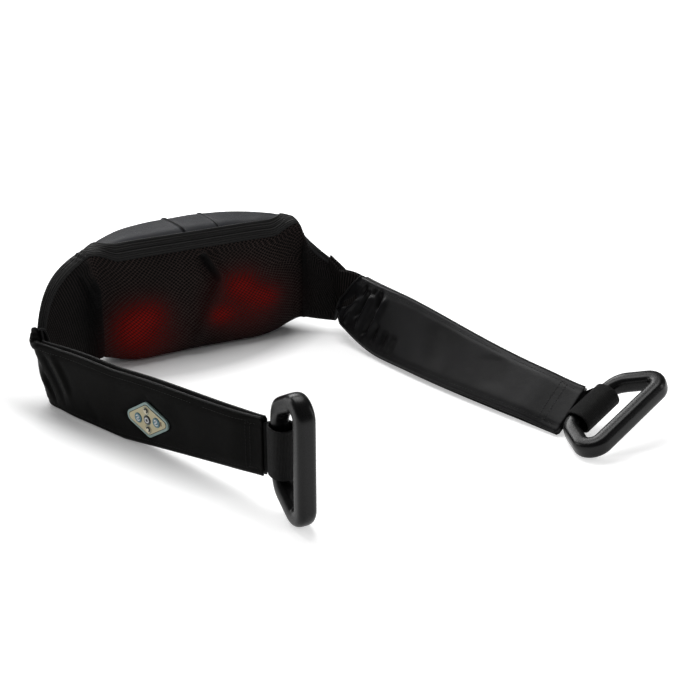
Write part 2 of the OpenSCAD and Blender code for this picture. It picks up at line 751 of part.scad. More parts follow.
module main_board() {
    color(board) difference() {
        translate([-board_w / 2, board_y, board_z]) cube([board_w, board_t, board_h]);
        for (p = board_holes) y_bar(p[0], p[1], screw_r + seat_clear, board_y - 1, board_y + board_t + 1);
    }
}

module board_parts() {
    color("#202020") {
        y_bar(-12, board_z + 38, 4, board_y - 9, board_y);
        y_bar(-2, board_z + 38, 3, board_y - 7, board_y);
        translate([-14, board_y - 2, board_z + 18]) cube([12, 2, 10]);
        translate([4, board_y - 6, board_z + 12]) cube([13, 6, 9]);
        translate([8, board_y - 3, board_z + 30]) cube([6, 3, 6]);
    }
}

module board_screws() {
    color(steel) for (p = board_holes) screw(p[0], p[1], board_y, board_t + 5);
}

inlet_depth = 9.5;

module dc_jack() {
    color(satin_black) difference() {
        y_bar(0, inlet_z, inlet_r, board_y + board_t, inlet_mouth);
        y_bar(0, inlet_z, inlet_bore_r, inlet_mouth - inlet_depth, inlet_mouth + 1);
    }
}

module dc_pin() {
    color(brass) y_bar(0, inlet_z, inlet_pin_r, inlet_mouth - inlet_depth, inlet_mouth - 1.5);
}

module motor_shaft() {
    color(steel) x_bar(shaft_r, -shaft_half, shaft_half);
}

module motor_armature() {
    half = motor_len / 2 - motor_wall - 8;
    color("#7a4a2a") difference() {
        x_bar(motor_r - motor_wall - magnet_t - armature_gap, -half, half);
        x_bar(shaft_r + seat_clear, -motor_len, motor_len);
    }
}

// One thread turn as a polar outline: high over the thread, low elsewhere
thread_points = 12;
function thread_radius(a) =
    let (off = abs(a > 180 ? a - 360 : a) / 360, tip = thread_tip_share / 2, foot = thread_share - tip)
    off <= tip ? worm_tip_r : off >= foot ? worm_root_r : lerp(worm_tip_r, worm_root_r, (off - tip) / (foot - tip));

module worm(side) {
    turn = side * 360 * worm_turns;
    translate([side * head_x, drive_y, drive_z]) rotate([0, 90, 0]) difference() {
        translate([0, 0, -worm_len / 2]) rotate([0, 0, -turn / 2])
            linear_extrude(height = worm_len, twist = turn, slices = 12 * worm_turns, $fn = thread_points)
                polygon([for (i = [0 : thread_points - 1]) let (a = 360 * i / thread_points)
                    thread_radius(a) * [cos(a), sin(a)]]);
        translate([0, 0, -worm_len]) cylinder(r = shaft_r + seat_clear, h = 2 * worm_len);
    }
}

module left_worm() {
    color(nylon) worm(-1);
}

module right_worm() {
    color(nylon) worm(1);
}

module axle(side) {
    color(steel) y_bar(side * head_x, head_z, axle_r, arm_front, axle_end);
}

// Outline of the wheel: each tooth is a trapezoid, and a space lies at the top
function wheel_outline() = [for (i = [0 : wheel_teeth - 1])
    let (pitch = 360 / wheel_teeth, mid = 90 + pitch * (i + 0.5), foot = pitch * (tooth_share + 0.12) / 2,
         tip = pitch * tooth_tip_share / 2)
    for (c = [[wheel_root_r, -foot], [wheel_tip_r, -tip], [wheel_tip_r, tip], [wheel_root_r, foot]])
        c[0] * [cos(mid + c[1]), sin(mid + c[1])]];

module drive_wheel(side) {
    color(nylon) difference() {
        union() {
            translate([side * head_x, wheel_back, head_z]) rotate([90, 0, 0])
                linear_extrude(height = wheel_w) polygon(wheel_outline());
            y_bar(side * head_x, head_z, axle_r + 4, wheel_front - hub_h, wheel_back + hub_h);
        }
        y_bar(side * head_x, head_z, axle_r + seat_clear, wheel_front - hub_h - 1, wheel_back + hub_h + 1);
    }
}

arm_hub_r = 12;
arm_half = 7;

// The arm carries two large nodes on one line and two small ones across it
module head_arm(side) {
    color(moulded) difference() {
        translate([side * head_x, arm_back, head_z]) rotate([90, 0, 0]) linear_extrude(height = arm_t) {
            circle(r = arm_hub_r);
            square([2 * large_node_orbit, 2 * arm_half], center = true);
            square([2 * arm_half, 2 * small_node_orbit], center = true);
            for (s = [-1, 1]) {
                translate([s * large_node_orbit, 0]) circle(r = arm_half + 2);
                translate([0, s * small_node_orbit]) circle(r = arm_half);
            }
        }
        y_bar(side * head_x, head_z, axle_r + seat_clear, arm_front - 1, arm_back + 1);
        for (p = node_places(side)) y_bar(p[0], p[1], screw_r + seat_clear, arm_front - 1, arm_back + 1);
    }
}

function large_places(side) = [for (s = [-1, 1]) [side * head_x + s * large_node_orbit, head_z]];
function small_places(side) = [for (s = [-1, 1]) [side * head_x, head_z + s * small_node_orbit]];
function node_places(side) = concat(large_places(side), small_places(side));

// A domed massage node, turned about its own axis, with a pilot hole in its foot
module massage_node(p, r, h) {
    translate([p[0], arm_front, p[1]]) rotate([90, 0, 0]) difference() {
        rotate_extrude() {
            square([r, h - r * 0.7]);
            intersection() {
                translate([0, h - r * 0.7]) square([r, r]);
                translate([0, h - node_dome_r(r)]) circle(r = node_dome_r(r));
            }
        }
        translate([0, 0, -1]) cylinder(r = screw_r + seat_clear, h = 9);
    }
}
// Radius of the sphere whose cap is 0.7 r high on a foot of radius r
function node_dome_r(r) = (r * r + pow(0.7 * r, 2)) / (2 * 0.7 * r);

module large_nodes(side) {
    color(node_red) for (p = large_places(side)) massage_node(p, large_node_r, large_node_h);
}

module small_nodes(side) {
    color(node_red) for (p = small_places(side)) massage_node(p, small_node_r, small_node_h);
}

node_screw_head_h = 1;

module head_screws(side) {
    color(steel) {
        for (p = node_places(side)) {
            y_bar(p[0], p[1], screw_r, arm_front - 7, arm_back);
            y_bar(p[0], p[1], screw_head_r, arm_back, arm_back + node_screw_head_h);
        }
        y_bar(side * head_x, head_z, axle_r + 3, arm_front - 2, arm_front);
    }
}

// Hand ring in its own frame: the bar lies on Z at the origin, the grip at +X, Y is across
bar_turn = 90 - ring_spread;
grip_turn = 90 + ring_spread;
bar_cut = bar_corner_r * tan(bar_turn / 2);
grip_cut = grip_corner_r * tan(grip_turn / 2);
grip_half = ring_len / 2 - ring_t / 2 - grip_corner_r + grip_cut;
bar_half = grip_half - ring_reach * tan(ring_spread);
bar_straight = bar_half - bar_cut;
grip_straight = grip_half - grip_cut;

// The ring's middle line as [x, z, outward angle, share of the full section], once round from the bar
bar_arc_steps = 5;
grip_arc_steps = 8;
grip_arc = [for (a = spread(180 - bar_turn, 0, grip_arc_steps))
    [ring_reach - grip_corner_r + grip_corner_r * cos(a), grip_straight + grip_corner_r * sin(a), a, 1]];
bar_arc = [for (i = [0 : bar_arc_steps]) let (a = 180 - bar_turn * i / bar_arc_steps)
    [bar_corner_r + bar_corner_r * cos(a), bar_straight + bar_corner_r * sin(a), a, ramp(i / bar_arc_steps)]];
upper_line = concat(bar_arc, grip_arc);
function mirrored(line) = [for (i = [len(line) - 1 : -1 : 0]) [line[i][0], -line[i][1], -line[i][2], line[i][3]]];
ring_line = concat(upper_line, mirrored(upper_line));
ring_loop = 24;
function ring_points(c) = [for (j = [0 : ring_loop - 1])
    let (a = 360 * j / ring_loop, power = 2 / lerp(2, ring_power, c[3]),
         q = lerp(bar_r, ring_t / 2, c[3]) * spow(cos(a), power), y = lerp(bar_r, ring_depth / 2, c[3]) * spow(sin(a), power))
    [c[0] + q * cos(c[2]), y, c[1] + q * sin(c[2])]];
function closed_faces(m, k) = [for (i = [0 : m - 1], j = [0 : k - 1]) let (n = (i + 1) % m)
    each quad(i * k + j, i * k + (j + 1) % k, n * k + (j + 1) % k, n * k + j)];

module hand_ring() {
    color(satin_black) polyhedron(flat_list([for (c = ring_line) ring_points(c)]), closed_faces(len(ring_line), ring_loop));
}

left_end_frame = strap_frame(-1, left_path, 1);
right_end_frame = strap_frame(1, right_path, 1);
function end_dir(path) = let (g = path[2] - path[1]) [g[0], g[1], 0] / norm(g);
left_bar = left_end + left_loop_reach * heading(left_loop_heading);
left_ring_z = ring_len / 2;
left_ring_at = [left_bar[0], left_bar[1], left_ring_z];
left_ring_b = [cos(left_ring_heading), sin(left_ring_heading), 0];
left_ring_a = [0, 0, 1];
right_ring_a = [sin(right_ring_lean) * cos(right_ring_heading), sin(right_ring_lean) * sin(right_ring_heading),
    cos(right_ring_lean)];
right_ring_h = [sin(right_ring_heading), -cos(right_ring_heading), 0];
right_ring_b = cos(right_ring_roll) * right_ring_h + sin(right_ring_roll) * cross(right_ring_a, right_ring_h);
right_bar_at = right_end + right_loop_reach * heading(right_loop_heading);
right_bar = [right_bar_at[0], right_bar_at[1], ring_foot(right_ring_a, right_ring_b)];

// Height of the bar of a ring that lies on the floor, with its length along a and its reach along b
function ring_foot(a, b) =
    let (down = norm([a[2], b[2]]), flat = abs(cross(a, b)[2]),
         bar_foot = bar_straight * abs(a[2]) + bar_corner_r * (down - b[2]),
         grip_foot = grip_straight * abs(a[2]) + grip_corner_r * down - (ring_reach - grip_corner_r) * b[2])
    max(bar_foot, grip_foot) + section_foot(ring_t / 2 * down, ring_depth / 2 * flat);
// Reach of the ring's section along a direction, from its two half sizes along it
function section_foot(u, v) = let (e = ring_power / (ring_power - 1)) pow(pow(u, e) + pow(v, e), 1 / e);

module left_handle() {
    placed(left_ring_at, left_ring_b, cross(left_ring_a, left_ring_b), left_ring_a) hand_ring();
}

module right_handle() {
    placed(right_bar, right_ring_b, cross(right_ring_a, right_ring_b), right_ring_a) hand_ring();
}

tongue_in = 8;
web_plate = 0.6;
web_inset = 4;
web_tuck = 0.3;

// Section of the loop: seated behind the bar at the origin, with its slack along +X
loop_seat = loop_r - bar_r - loop_clear;
module loop_oval(r) {
    translate([loop_seat, 0]) circle(r = r);
    translate([loop_seat + loop_slack, 0]) circle(r = r);
    translate([loop_seat, -r]) square([loop_slack, 2 * r]);
}

// The webbing: a slack sleeve round the bar, and a doubled tongue that is sewn into the strap's end
module web_loop(bar, a, b, frame, dir) {
    outer_r = loop_r + web_t;
    tongue_t = 2 * web_t;
    color(satin_black) difference() {
        union() {
            placed(bar, b, cross(a, b), a) translate([0, 0, -loop_w / 2]) linear_extrude(height = loop_w) loop_oval(outer_r);
            placed(frame[0], dir, frame[2], frame[1]) translate([-tongue_in, -tongue_t / 2, -loop_w / 2])
                cube([tongue_in + 1, tongue_t, loop_w]);
            hull() {
                placed(frame[0], dir, frame[2], frame[1])
                    translate([-web_plate, web_tuck - tongue_t / 2, web_inset - loop_w / 2])
                        cube([web_plate, tongue_t - 2 * web_tuck, loop_w - 2 * web_inset]);
                placed(bar, b, cross(a, b), a)
                    translate([loop_seat + web_plate - outer_r, web_tuck - tongue_t / 2, web_inset - loop_w / 2])
                        cube([web_plate, tongue_t - 2 * web_tuck, loop_w - 2 * web_inset]);
            }
        }
        placed(bar, b, cross(a, b), a) translate([0, 0, -loop_w]) linear_extrude(height = 2 * loop_w) loop_oval(loop_r);
    }
}

module left_loop() {
    web_loop([left_bar[0], left_bar[1], left_end_frame[0][2] + left_loop_rise], left_ring_a, left_ring_b, left_end_frame,
        end_dir(left_path));
}

module right_loop() {
    web_loop(right_bar + right_loop_shift * right_ring_a, right_ring_a, right_ring_b, right_end_frame,
        end_dir(right_path));
}

// Control pad frame: x along the strap, y up across it, z out of its outer face
pad_mid = strap_frame(-1, left_path, pad_at);
pad_step = 0.02;
pad_run = strap_frame(-1, left_path, pad_at + pad_step)[0] - strap_frame(-1, left_path, pad_at - pad_step)[0];
pad_x = pad_run / norm(pad_run);
pad_z = pad_mid[2];
pad_y = cross(pad_z, pad_x);
pad_seat = strap_t / 2 + seat_clear;

module on_pad() {
    placed(pad_mid[0] + pad_seat * pad_z - pad_drop * pad_y, pad_x, pad_y, pad_z) children();
}

// A rounded rhombus, with its sides moved in by s
pad_arc_steps = 6;

module pad_outline(s) {
    l = pad_l / 2 - pad_corner;
    h = pad_h / 2 - pad_corner;
    side = atan2(l, h);
    corners = [[l, 0, -side, side], [0, h, side, 180 - side], [-l, 0, 180 - side, 180 + side],
        [0, -h, 180 + side, 360 - side]];
    polygon([for (c = corners, a = spread(c[2], c[3], pad_arc_steps))
        [c[0], c[1]] + (pad_corner - s) * [cos(a), sin(a)]]);
}

button_list = [
    [[0, 0], power_r], [[-side_button_at, 0], side_button_r], [[side_button_at, 0], side_button_r],
    [[0, end_button_at], end_button_r], [[0, -end_button_at], end_button_r]
];
button_proud = 0.9;
button_skirt = 0.8;
button_skirt_h = 0.8;
dome_h = 0.6;
tray_floor = 0.8;
tray_wall = 0.9;
button_clear = 0.2;

module pad_bezel() {
    color(teal) on_pad() difference() {
        linear_extrude(height = bezel_t) pad_outline(0);
        for (b = button_list) translate([b[0][0], b[0][1], -1]) cylinder(r = b[1] + button_clear, h = bezel_t + 2);
    }
}

module pad_tray() {
    color(moulded) on_pad() translate([0, 0, -pad_depth]) difference() {
        linear_extrude(height = pad_depth) pad_outline(bezel_rim);
        translate([0, 0, tray_floor]) linear_extrude(height = pad_depth) pad_outline(bezel_rim + tray_wall);
    }
}

pad_board_t = 1;

module pad_board() {
    color(board) on_pad() translate([0, 0, tray_floor - pad_depth])
        linear_extrude(height = pad_board_t) pad_outline(bezel_rim + tray_wall + seat_clear);
}

dome_r = 2.6;

module pad_domes() {
    color(steel) on_pad() for (b = button_list)
        translate([b[0][0], b[0][1], tray_floor + pad_board_t - pad_depth]) cylinder(r = dome_r, h = dome_h);
}

// A cap with a skirt under the bezel, and a stem that ends its travel short of the dome switch
module push_button(i) {
    b = button_list[i];
    skirt_top = -seat_clear;
    foot = tray_floor + pad_board_t + dome_h + button_travel + 0.1 - pad_depth;
    on_pad() translate([b[0][0], b[0][1], 0]) {
        translate([0, 0, skirt_top - button_skirt_h])
            cylinder(r = b[1] - button_clear, h = button_skirt_h + seat_clear + bezel_t + button_proud);
        translate([0, 0, skirt_top - button_skirt_h]) cylinder(r = b[1] + 0.15 * button_skirt, h = button_skirt_h);
        translate([0, 0, foot]) cylinder(r = dome_r - 0.6, h = skirt_top - foot);
    }
}

module power_button() {
    color(satin_black) push_button(0);
}

module left_button() {
    color(teal) push_button(1);
}

module right_button() {
    color(teal) push_button(2);
}

module upper_button() {
    color(cream) push_button(3);
}

module lower_button() {
    color(cream) push_button(4);
}

// Window for the pad's box, cut through the outer face of the left strap
module pad_window(grow, depth) {
    on_pad() translate([0, 0, -depth]) linear_extrude(height = depth + 5) pad_outline(bezel_rim - grow);
}

module left_strap_cover() {
    color(leather) difference() {
        strap_sleeve(-1, left_path, left_heading_1);
        pad_window(seam_gap, pad_depth);
    }
}

module left_strap_foam() {
    color(foam) difference() {
        strap_filling(-1, left_path);
        pad_window(seam_gap + 0.4, pad_depth + seam_gap);
    }
}

module right_strap_cover() {
    color(leather) strap_sleeve(1, right_path, right_heading_1);
}

module right_strap_foam() {
    color(foam) strap_filling(1, right_path);
}

rear_cover();
mesh_cover();
zip_tape();
left_wing_foam();
right_wing_foam();
base_pad();
rear_housing();
front_housing();
housing_screws();
motor_can();
motor_magnets();
motor_bracket();
shaft_bushes();
front_bushes();
rear_bushes();
lamp_boards();
heat_lamps();
main_board();
board_parts();
board_screws();
dc_jack();
dc_pin();
motor_shaft();
motor_armature();
left_worm();
right_worm();
axle(-1);  // left_axle
drive_wheel(-1);  // left_drive_wheel
head_arm(-1);  // left_head_arm
large_nodes(-1);  // left_large_nodes
small_nodes(-1);  // left_small_nodes
head_screws(-1);  // left_head_screws
axle(1);  // right_axle
drive_wheel(1);  // right_drive_wheel
head_arm(1);  // right_head_arm
large_nodes(1);  // right_large_nodes
small_nodes(1);  // right_small_nodes
head_screws(1);  // right_head_screws
left_strap_cover();
left_strap_foam();
left_loop();
left_handle();
right_strap_cover();
right_strap_foam();
right_loop();
right_handle();
pad_bezel();
pad_tray();
pad_board();
pad_domes();
power_button();
left_button();
right_button();
upper_button();
lower_button();
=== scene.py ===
"""Shiatsu neck massager: soft covers, webbing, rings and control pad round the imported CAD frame."""
import math
from functools import partialmethod

import bpy
import numpy as np
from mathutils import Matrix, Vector


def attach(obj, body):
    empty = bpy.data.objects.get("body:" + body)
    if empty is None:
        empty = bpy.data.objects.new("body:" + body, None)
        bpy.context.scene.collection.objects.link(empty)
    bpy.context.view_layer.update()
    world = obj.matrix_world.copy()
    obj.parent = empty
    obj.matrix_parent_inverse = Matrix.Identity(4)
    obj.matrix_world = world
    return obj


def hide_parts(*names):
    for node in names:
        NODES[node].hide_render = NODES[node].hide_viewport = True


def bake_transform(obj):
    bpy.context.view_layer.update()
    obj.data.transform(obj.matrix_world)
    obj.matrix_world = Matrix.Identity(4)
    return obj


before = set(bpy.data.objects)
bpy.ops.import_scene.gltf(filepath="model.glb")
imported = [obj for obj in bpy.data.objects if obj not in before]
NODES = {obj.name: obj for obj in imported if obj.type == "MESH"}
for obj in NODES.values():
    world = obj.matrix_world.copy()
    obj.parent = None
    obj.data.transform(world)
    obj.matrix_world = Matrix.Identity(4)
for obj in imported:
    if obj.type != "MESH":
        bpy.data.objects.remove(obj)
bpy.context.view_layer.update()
MM = 0.001
scene = bpy.context.scene
scene.view_settings.view_transform = "Standard"

# Values of the CAD source, in millimetres and degrees
HEAD_X, HEAD_Z = 68.0, 56.0
PILLOW_HALF, FRONT_Y, BACK_Y = 136.0, -45.8, 52.0
END_DEPTH, CROWN_Z, END_H, END_RISE, BASE_DIP = 31.0, 152.75, 147.0, 15.0, 2.5
FLAT_HALF = 0.57 * PILLOW_HALF
HEAD_SWELL, SWELL_SPREAD, SWELL_Z = 5.0, 32.0, HEAD_Z - 6.0
BAND_Z, BAND_W = 147.0, 17.0
SEAM_LOW = 250.0
HINGE_ROOM = 7.3
WINGS = {-1: dict(len=112.0, turn=45.0, end_h=79.0, fall=2.4, end_low=1.0),
         1: dict(len=57.0, turn=40.0, end_h=90.0, fall=0.55, end_low=12.0)}
WING_LEN = {side: wing["len"] - HINGE_ROOM for side, wing in WINGS.items()}
WING_END_T = 16.0
STRAP_T, STRAP_END_T, STRAP_END_W = 14.0, 8.4, 61.0
STRAPS = {-1: dict(legs=(131.0, 212.0), head=(-66.5, -71.0), root_w=75.0, mid_w=76.0),
          1: dict(legs=(86.0, 298.0), head=(-89.0, -73.5), root_w=82.0, mid_w=80.0)}
LEFT_LIFT, RIGHT_LEAN_MID, RIGHT_LEAN_END = 30.0, 24.0, 52.0
RING_LEN, RING_REACH, RING_T, RING_DEPTH, RING_POWER = 136.0, 53.0, 18.5, 20.0, 3.0
RING_SPREAD, BAR_CORNER_R, GRIP_CORNER_R, BAR_R = 29.0, 26.0, 14.0, 9.0
LOOP_W, WEB_T, LOOP_R, LOOP_SEAT, LOOP_SLACK, RIGHT_LOOP_SHIFT = 52.0, 2.2, 11.4, 2.1, 5.0, -4.0
LEFT_BAR = np.array([-84.136, -444.53, 63.4])
RIGHT_BAR = np.array([286.194, -446.923, 27.9983])
RIGHT_A = np.array([0.906571, 0.209298, 0.366501])
RIGHT_B = np.array([0.179754, -0.977155, 0.113389])
LEFT_A = np.array([0.0, 0.0, 1.0])
LEFT_B = np.array([0.0, -1.0, 0.0])
PAD_X = np.array([0.346911, -0.932488, 0.100593])
PAD_Y = np.array([-0.0350748, 0.0942802, 0.994928])
PAD_Z = np.array([-0.937242, -0.348679, 0.0])
PAD_STAND, PAD_DROP = 7.05, 6.0
PAD_AT = np.array([-149.451, -273.298, 44.0616]) + PAD_STAND * PAD_Z - PAD_DROP * PAD_Y
PAD_L, PAD_H, PAD_CORNER, BEZEL_T, BUTTON_PROUD = 64.0, 39.0, 7.0, 2.0, 0.9
INLET_Z, INLET_MOUTH, INLET_R = 30.0, 48.8, 5.0

TURN = 2 * math.pi
norm = np.linalg.norm


def cosd(a):
    return math.cos(math.radians(a))


def sind(a):
    return math.sin(math.radians(a))


def tand(a):
    return math.tan(math.radians(a))


def lerp(a, b, t):
    return a + (b - a) * t


def ramp(t):
    t = np.clip(t, 0.0, 1.0)
    return t * t * (3.0 - 2.0 * t)


def bell(x, width):
    return np.exp(-(x / width) ** 2)


def spow(v, p):
    return np.sign(v) * np.abs(v) ** p


def heading(a):
    return np.array([cosd(a), sind(a)])


def unit(v):
    return v / norm(v)


# Pillow and wings
def pillow_station(x):
    """A section of the pillow: its place, turn, depths, heights, powers of its front and back, and slope."""
    e = abs(x) / PILLOW_HALF
    back = lerp(BACK_Y, FRONT_Y + END_DEPTH, e ** 3.2)
    mid = lerp(FRONT_Y, back, 0.54)
    share = ramp((e - 0.5) / 0.5)
    base = END_RISE * max(0.0, (abs(x) - FLAT_HALF) / (PILLOW_HALF - FLAT_HALF)) ** 2
    return dict(p=np.array([x, mid]), turn=90.0, front=mid - FRONT_Y, back=back - mid,
                low=base - BASE_DIP * (1 - share), high=lerp(CROWN_Z, END_H, e ** 2), floor=base,
                pf=lerp(5, 4, share), pb=lerp(2.8, 2, share), slope=0.1 * (1 - share), x=x, wing=0.0, side=0)


KNEES = {s: pillow_station(s * PILLOW_HALF) for s in (-1, 1)}
WING_DIR = {-1: heading(180.0 + WINGS[-1]["turn"]), 1: heading(-WINGS[1]["turn"])}
HINGES = {s: KNEES[s]["p"] + WINGS[s]["len"] * WING_DIR[s] for s in (-1, 1)}


def wing_station(side, t):
    k, w = KNEES[side], WINGS[side]
    r = ramp(t)
    return dict(p=k["p"] + t * WING_LEN[side] * WING_DIR[side], turn=90.0 - side * w["turn"] * ramp(t / 0.6),
                front=lerp(k["front"], WING_END_T / 2, r), back=lerp(k["back"], WING_END_T / 2, r),
                low=lerp(k["low"], w["end_low"], r), high=lerp(k["high"], w["end_h"], t ** w["fall"]),
                floor=lerp(k["floor"], 1.0, r), pf=k["pf"], pb=k["pb"], slope=0.0, x=k["x"], wing=t, side=side)


def station(s):
    """The section at the signed length s from the pillow's middle."""
    if abs(s) <= PILLOW_HALF:
        return pillow_station(s)
    side = -1 if s < 0 else 1
    return wing_station(side, (abs(s) - PILLOW_HALF) / WING_LEN[side])


LEFT_S, RIGHT_S = -PILLOW_HALF - WING_LEN[-1], PILLOW_HALF + WING_LEN[1]
FOLD_LEAN, FOLD_PIVOT_Z = 0.2, 38.0


def mid_and_half(st):
    """Middle and half of a section's height."""
    return (st["low"] + st["high"]) / 2, (st["high"] - st["low"]) / 2


def section(st, a):
    """Points of a section at the angles a."""
    a = np.radians(a)
    front = np.cos(a) < 0
    power = 2.0 / np.where(front, st["pf"], st["pb"])
    reach = np.where(front, st["front"], st["back"])
    mid, half = mid_and_half(st)
    off = reach * spow(np.cos(a), power)
    z = np.maximum(mid + half * spow(np.sin(a), power), st["floor"])
    part = np.abs(off) / reach
    tilt = np.where(front, st["slope"] * (z - mid) * part, 0.0)
    swell = 0.0
    if st["side"] == 0:
        spread = 2 * SWELL_SPREAD ** 2
        heads = [np.exp(-((st["x"] - x) ** 2 + (z - SWELL_Z) ** 2) / spread) for x in (HEAD_X, -HEAD_X)]
        swell = np.where(front, HEAD_SWELL * np.maximum(*heads) * part, 0.0)
    d = off + tilt - swell
    if st["side"] < 0:
        d = d + FOLD_LEAN * (z - FOLD_PIVOT_Z) * ramp(st["wing"])
    n = heading(st["turn"])
    return np.stack([st["p"][0] + d * n[0], st["p"][1] + d * n[1], z], -1)


def band_edge(z, most, wing_angle):
    """How an edge of the band runs: at the height z on the pillow's front, and up to wing_angle on the wings."""
    def angle(st):
        mid, half = mid_and_half(st)
        front = 180.0 - math.degrees(math.asin(spow(min(most, (z - mid) / half), st["pf"] / 2)))
        climbed = 1.0 if st["side"] else ramp((abs(st["x"]) / PILLOW_HALF - 0.72) / 0.28)
        return lerp(front, wing_angle, climbed)
    return angle


tape_low, tape_high = band_edge(BAND_Z - BAND_W, 0.8, 122.0), band_edge(BAND_Z, 0.97, 74.0)


def run_length(p):
    """Length along the polyline p, at each of its points."""
    return np.concatenate([[0], np.cumsum(norm(np.diff(p, axis=0), axis=1))])


def at_length(x, d, p):
    """The point of p where the length d is x."""
    return np.array([np.interp(x, d, p[:, i]) for i in range(3)])


def resample(p, n):
    """n points evenly spaced along the polyline p."""
    d = run_length(p)
    return at_length(np.linspace(0, d[-1], n), d, p).T


def smooth(p, rounds):
    """Softens a line or the rows of a grid, with the ends kept."""
    for _ in range(rounds):
        q = p.copy()
        q[1:-1] = 0.25 * p[:-2] + 0.5 * p[1:-1] + 0.25 * p[2:]
        p = q
    return p


def normals(p):
    n = np.cross(np.gradient(p, axis=0), np.gradient(p, axis=1))
    return n / (norm(n, axis=-1, keepdims=True) + 1e-9)


def raised(p, n, height, low_z):
    """A grid moved along its normals, and kept above a lowest z."""
    p = p + n * height[..., None]
    p[..., 2] = np.maximum(p[..., 2], low_z)
    return p


# Mesh making
def new_object(name, data):
    ob = bpy.data.objects.new(name, data)
    scene.collection.objects.link(ob)
    return ob


def mesh_object(name, points, faces, material, uv=None, smooth_shade=True, painted_shade=None):
    me = bpy.data.meshes.new(name)
    me.from_pydata((np.asarray(points, float) * MM).tolist(), [], faces)
    if uv is not None:
        layer = me.uv_layers.new(name="UVMap")
        loops = np.zeros(len(me.loops), dtype=np.int32)
        me.loops.foreach_get("vertex_index", loops)
        layer.data.foreach_set("uv", np.asarray(uv, dtype=np.float32)[loops].ravel())
    # One float per point of painted shade, which the material darkens its colour by.
    if painted_shade is not None:
        me.attributes.new("painted_shade", "FLOAT", "POINT").data.foreach_set("value", np.asarray(painted_shade, np.float32).ravel())
    me.update()
    if smooth_shade:
        me.polygons.foreach_set("use_smooth", [True] * len(me.polygons))
    me.materials.append(material)
    return new_object(name, me)


def grid_faces(m, n, close_m=False, close_n=False, flip=False):
    out = []
    for i in range(m if close_m else m - 1):
        for j in range(n if close_n else n - 1):
            a, b = i * n + j, i * n + (j + 1) % n
            c, d = ((i + 1) % m) * n + (j + 1) % n, ((i + 1) % m) * n + j
            out.append((a, d, c, b) if flip else (a, b, c, d))
    return out


def arc_uv(p):
    """UV in millimetres along the two directions of a grid."""
    u = np.concatenate([np.zeros((1, p.shape[1])), np.cumsum(norm(np.diff(p, axis=0), axis=2), 0)])
    v = np.concatenate([np.zeros((p.shape[0], 1)), np.cumsum(norm(np.diff(p, axis=1), axis=2), 1)], 1)
    return np.stack([u, v], -1)


def grid_object(name, p, material, flip=False, close_n=False, drop=None, caps=(), painted_shade=None):
    m, n = p.shape[:2]
    faces = grid_faces(m, n, False, close_n, flip)
    pts = p.reshape(-1, 3)
    if drop is not None:
        faces = [f for f in faces if not drop(pts[list(f)].mean(0))]
    rim = range(n) if flip else range(n)[::-1]
    if "start" in caps:
        faces.append(tuple(rim))
    if "end" in caps:
        faces.append(tuple((m - 1) * n + j for j in rim[::-1]))
    return mesh_object(name, pts, faces, material, arc_uv(p).reshape(-1, 2), painted_shade=painted_shade)


def tube_object(name, path, radius, material, sides=10, caps=("start", "end")):
    """A tube along a polyline, by carried frames; radius is a number or one per point."""
    t = np.gradient(path, axis=0)
    t /= norm(t, axis=1, keepdims=True)
    r = np.broadcast_to(radius, len(path))
    side = np.cross(t[0], [0, 0, 1.0])
    if norm(side) < 1e-6:
        side = np.cross(t[0], [0, 1.0, 0])
    rows = []
    for i in range(len(path)):
        side = unit(side - t[i] * np.dot(side, t[i]))
        up = np.cross(t[i], side)
        a = np.linspace(0, TURN, sides, endpoint=False)[:, None]
        rows.append(path[i] + r[i] * (np.cos(a) * side + np.sin(a) * up))
    return grid_object(name, np.array(rows), material, close_n=True, caps=caps, flip=True)


def join_parts(name, parts, material):
    """One object from several (points, faces) lists."""
    pts, faces, base = [], [], 0
    for p, f in parts:
        pts.append(p)
        faces += [tuple(i + base for i in q) for q in f]
        base += len(p)
    return mesh_object(name, np.concatenate(pts), faces, material)


def stitch_parts(line, normal, pitch=4.2, length=2.9, width=0.8, height=0.45):
    """Thread stitches along a line that lies on a surface: small raised, sunk-ended beads."""
    line, normal = np.asarray(line, float), np.asarray(normal, float)
    d = run_length(line)
    parts = []
    at = pitch / 2
    rings = ((-0.5, 0.25, -0.35), (-0.3, 0.85, 0.3), (0.0, 1.0, 0.55), (0.3, 0.85, 0.3), (0.5, 0.25, -0.35))
    angles = np.linspace(0, TURN, 6, endpoint=False)
    while at < d[-1] - pitch / 2:
        p = at_length(at, d, line)
        n = unit(at_length(at, d, normal))
        t = unit(at_length(at + 0.5, d, line) - p)
        n = unit(n - t * np.dot(n, t))
        b = np.cross(n, t)
        pts = [p + t * f * length + b * math.cos(a) * w * width / 2 + n * (math.sin(a) * w * height / 2 + h * height)
               for f, w, h in rings for a in angles]
        parts.append((np.array(pts), grid_faces(5, 6, False, True, True)))
        at += pitch
    return parts


# Materials
def grey(v):
    return (v, v, v)


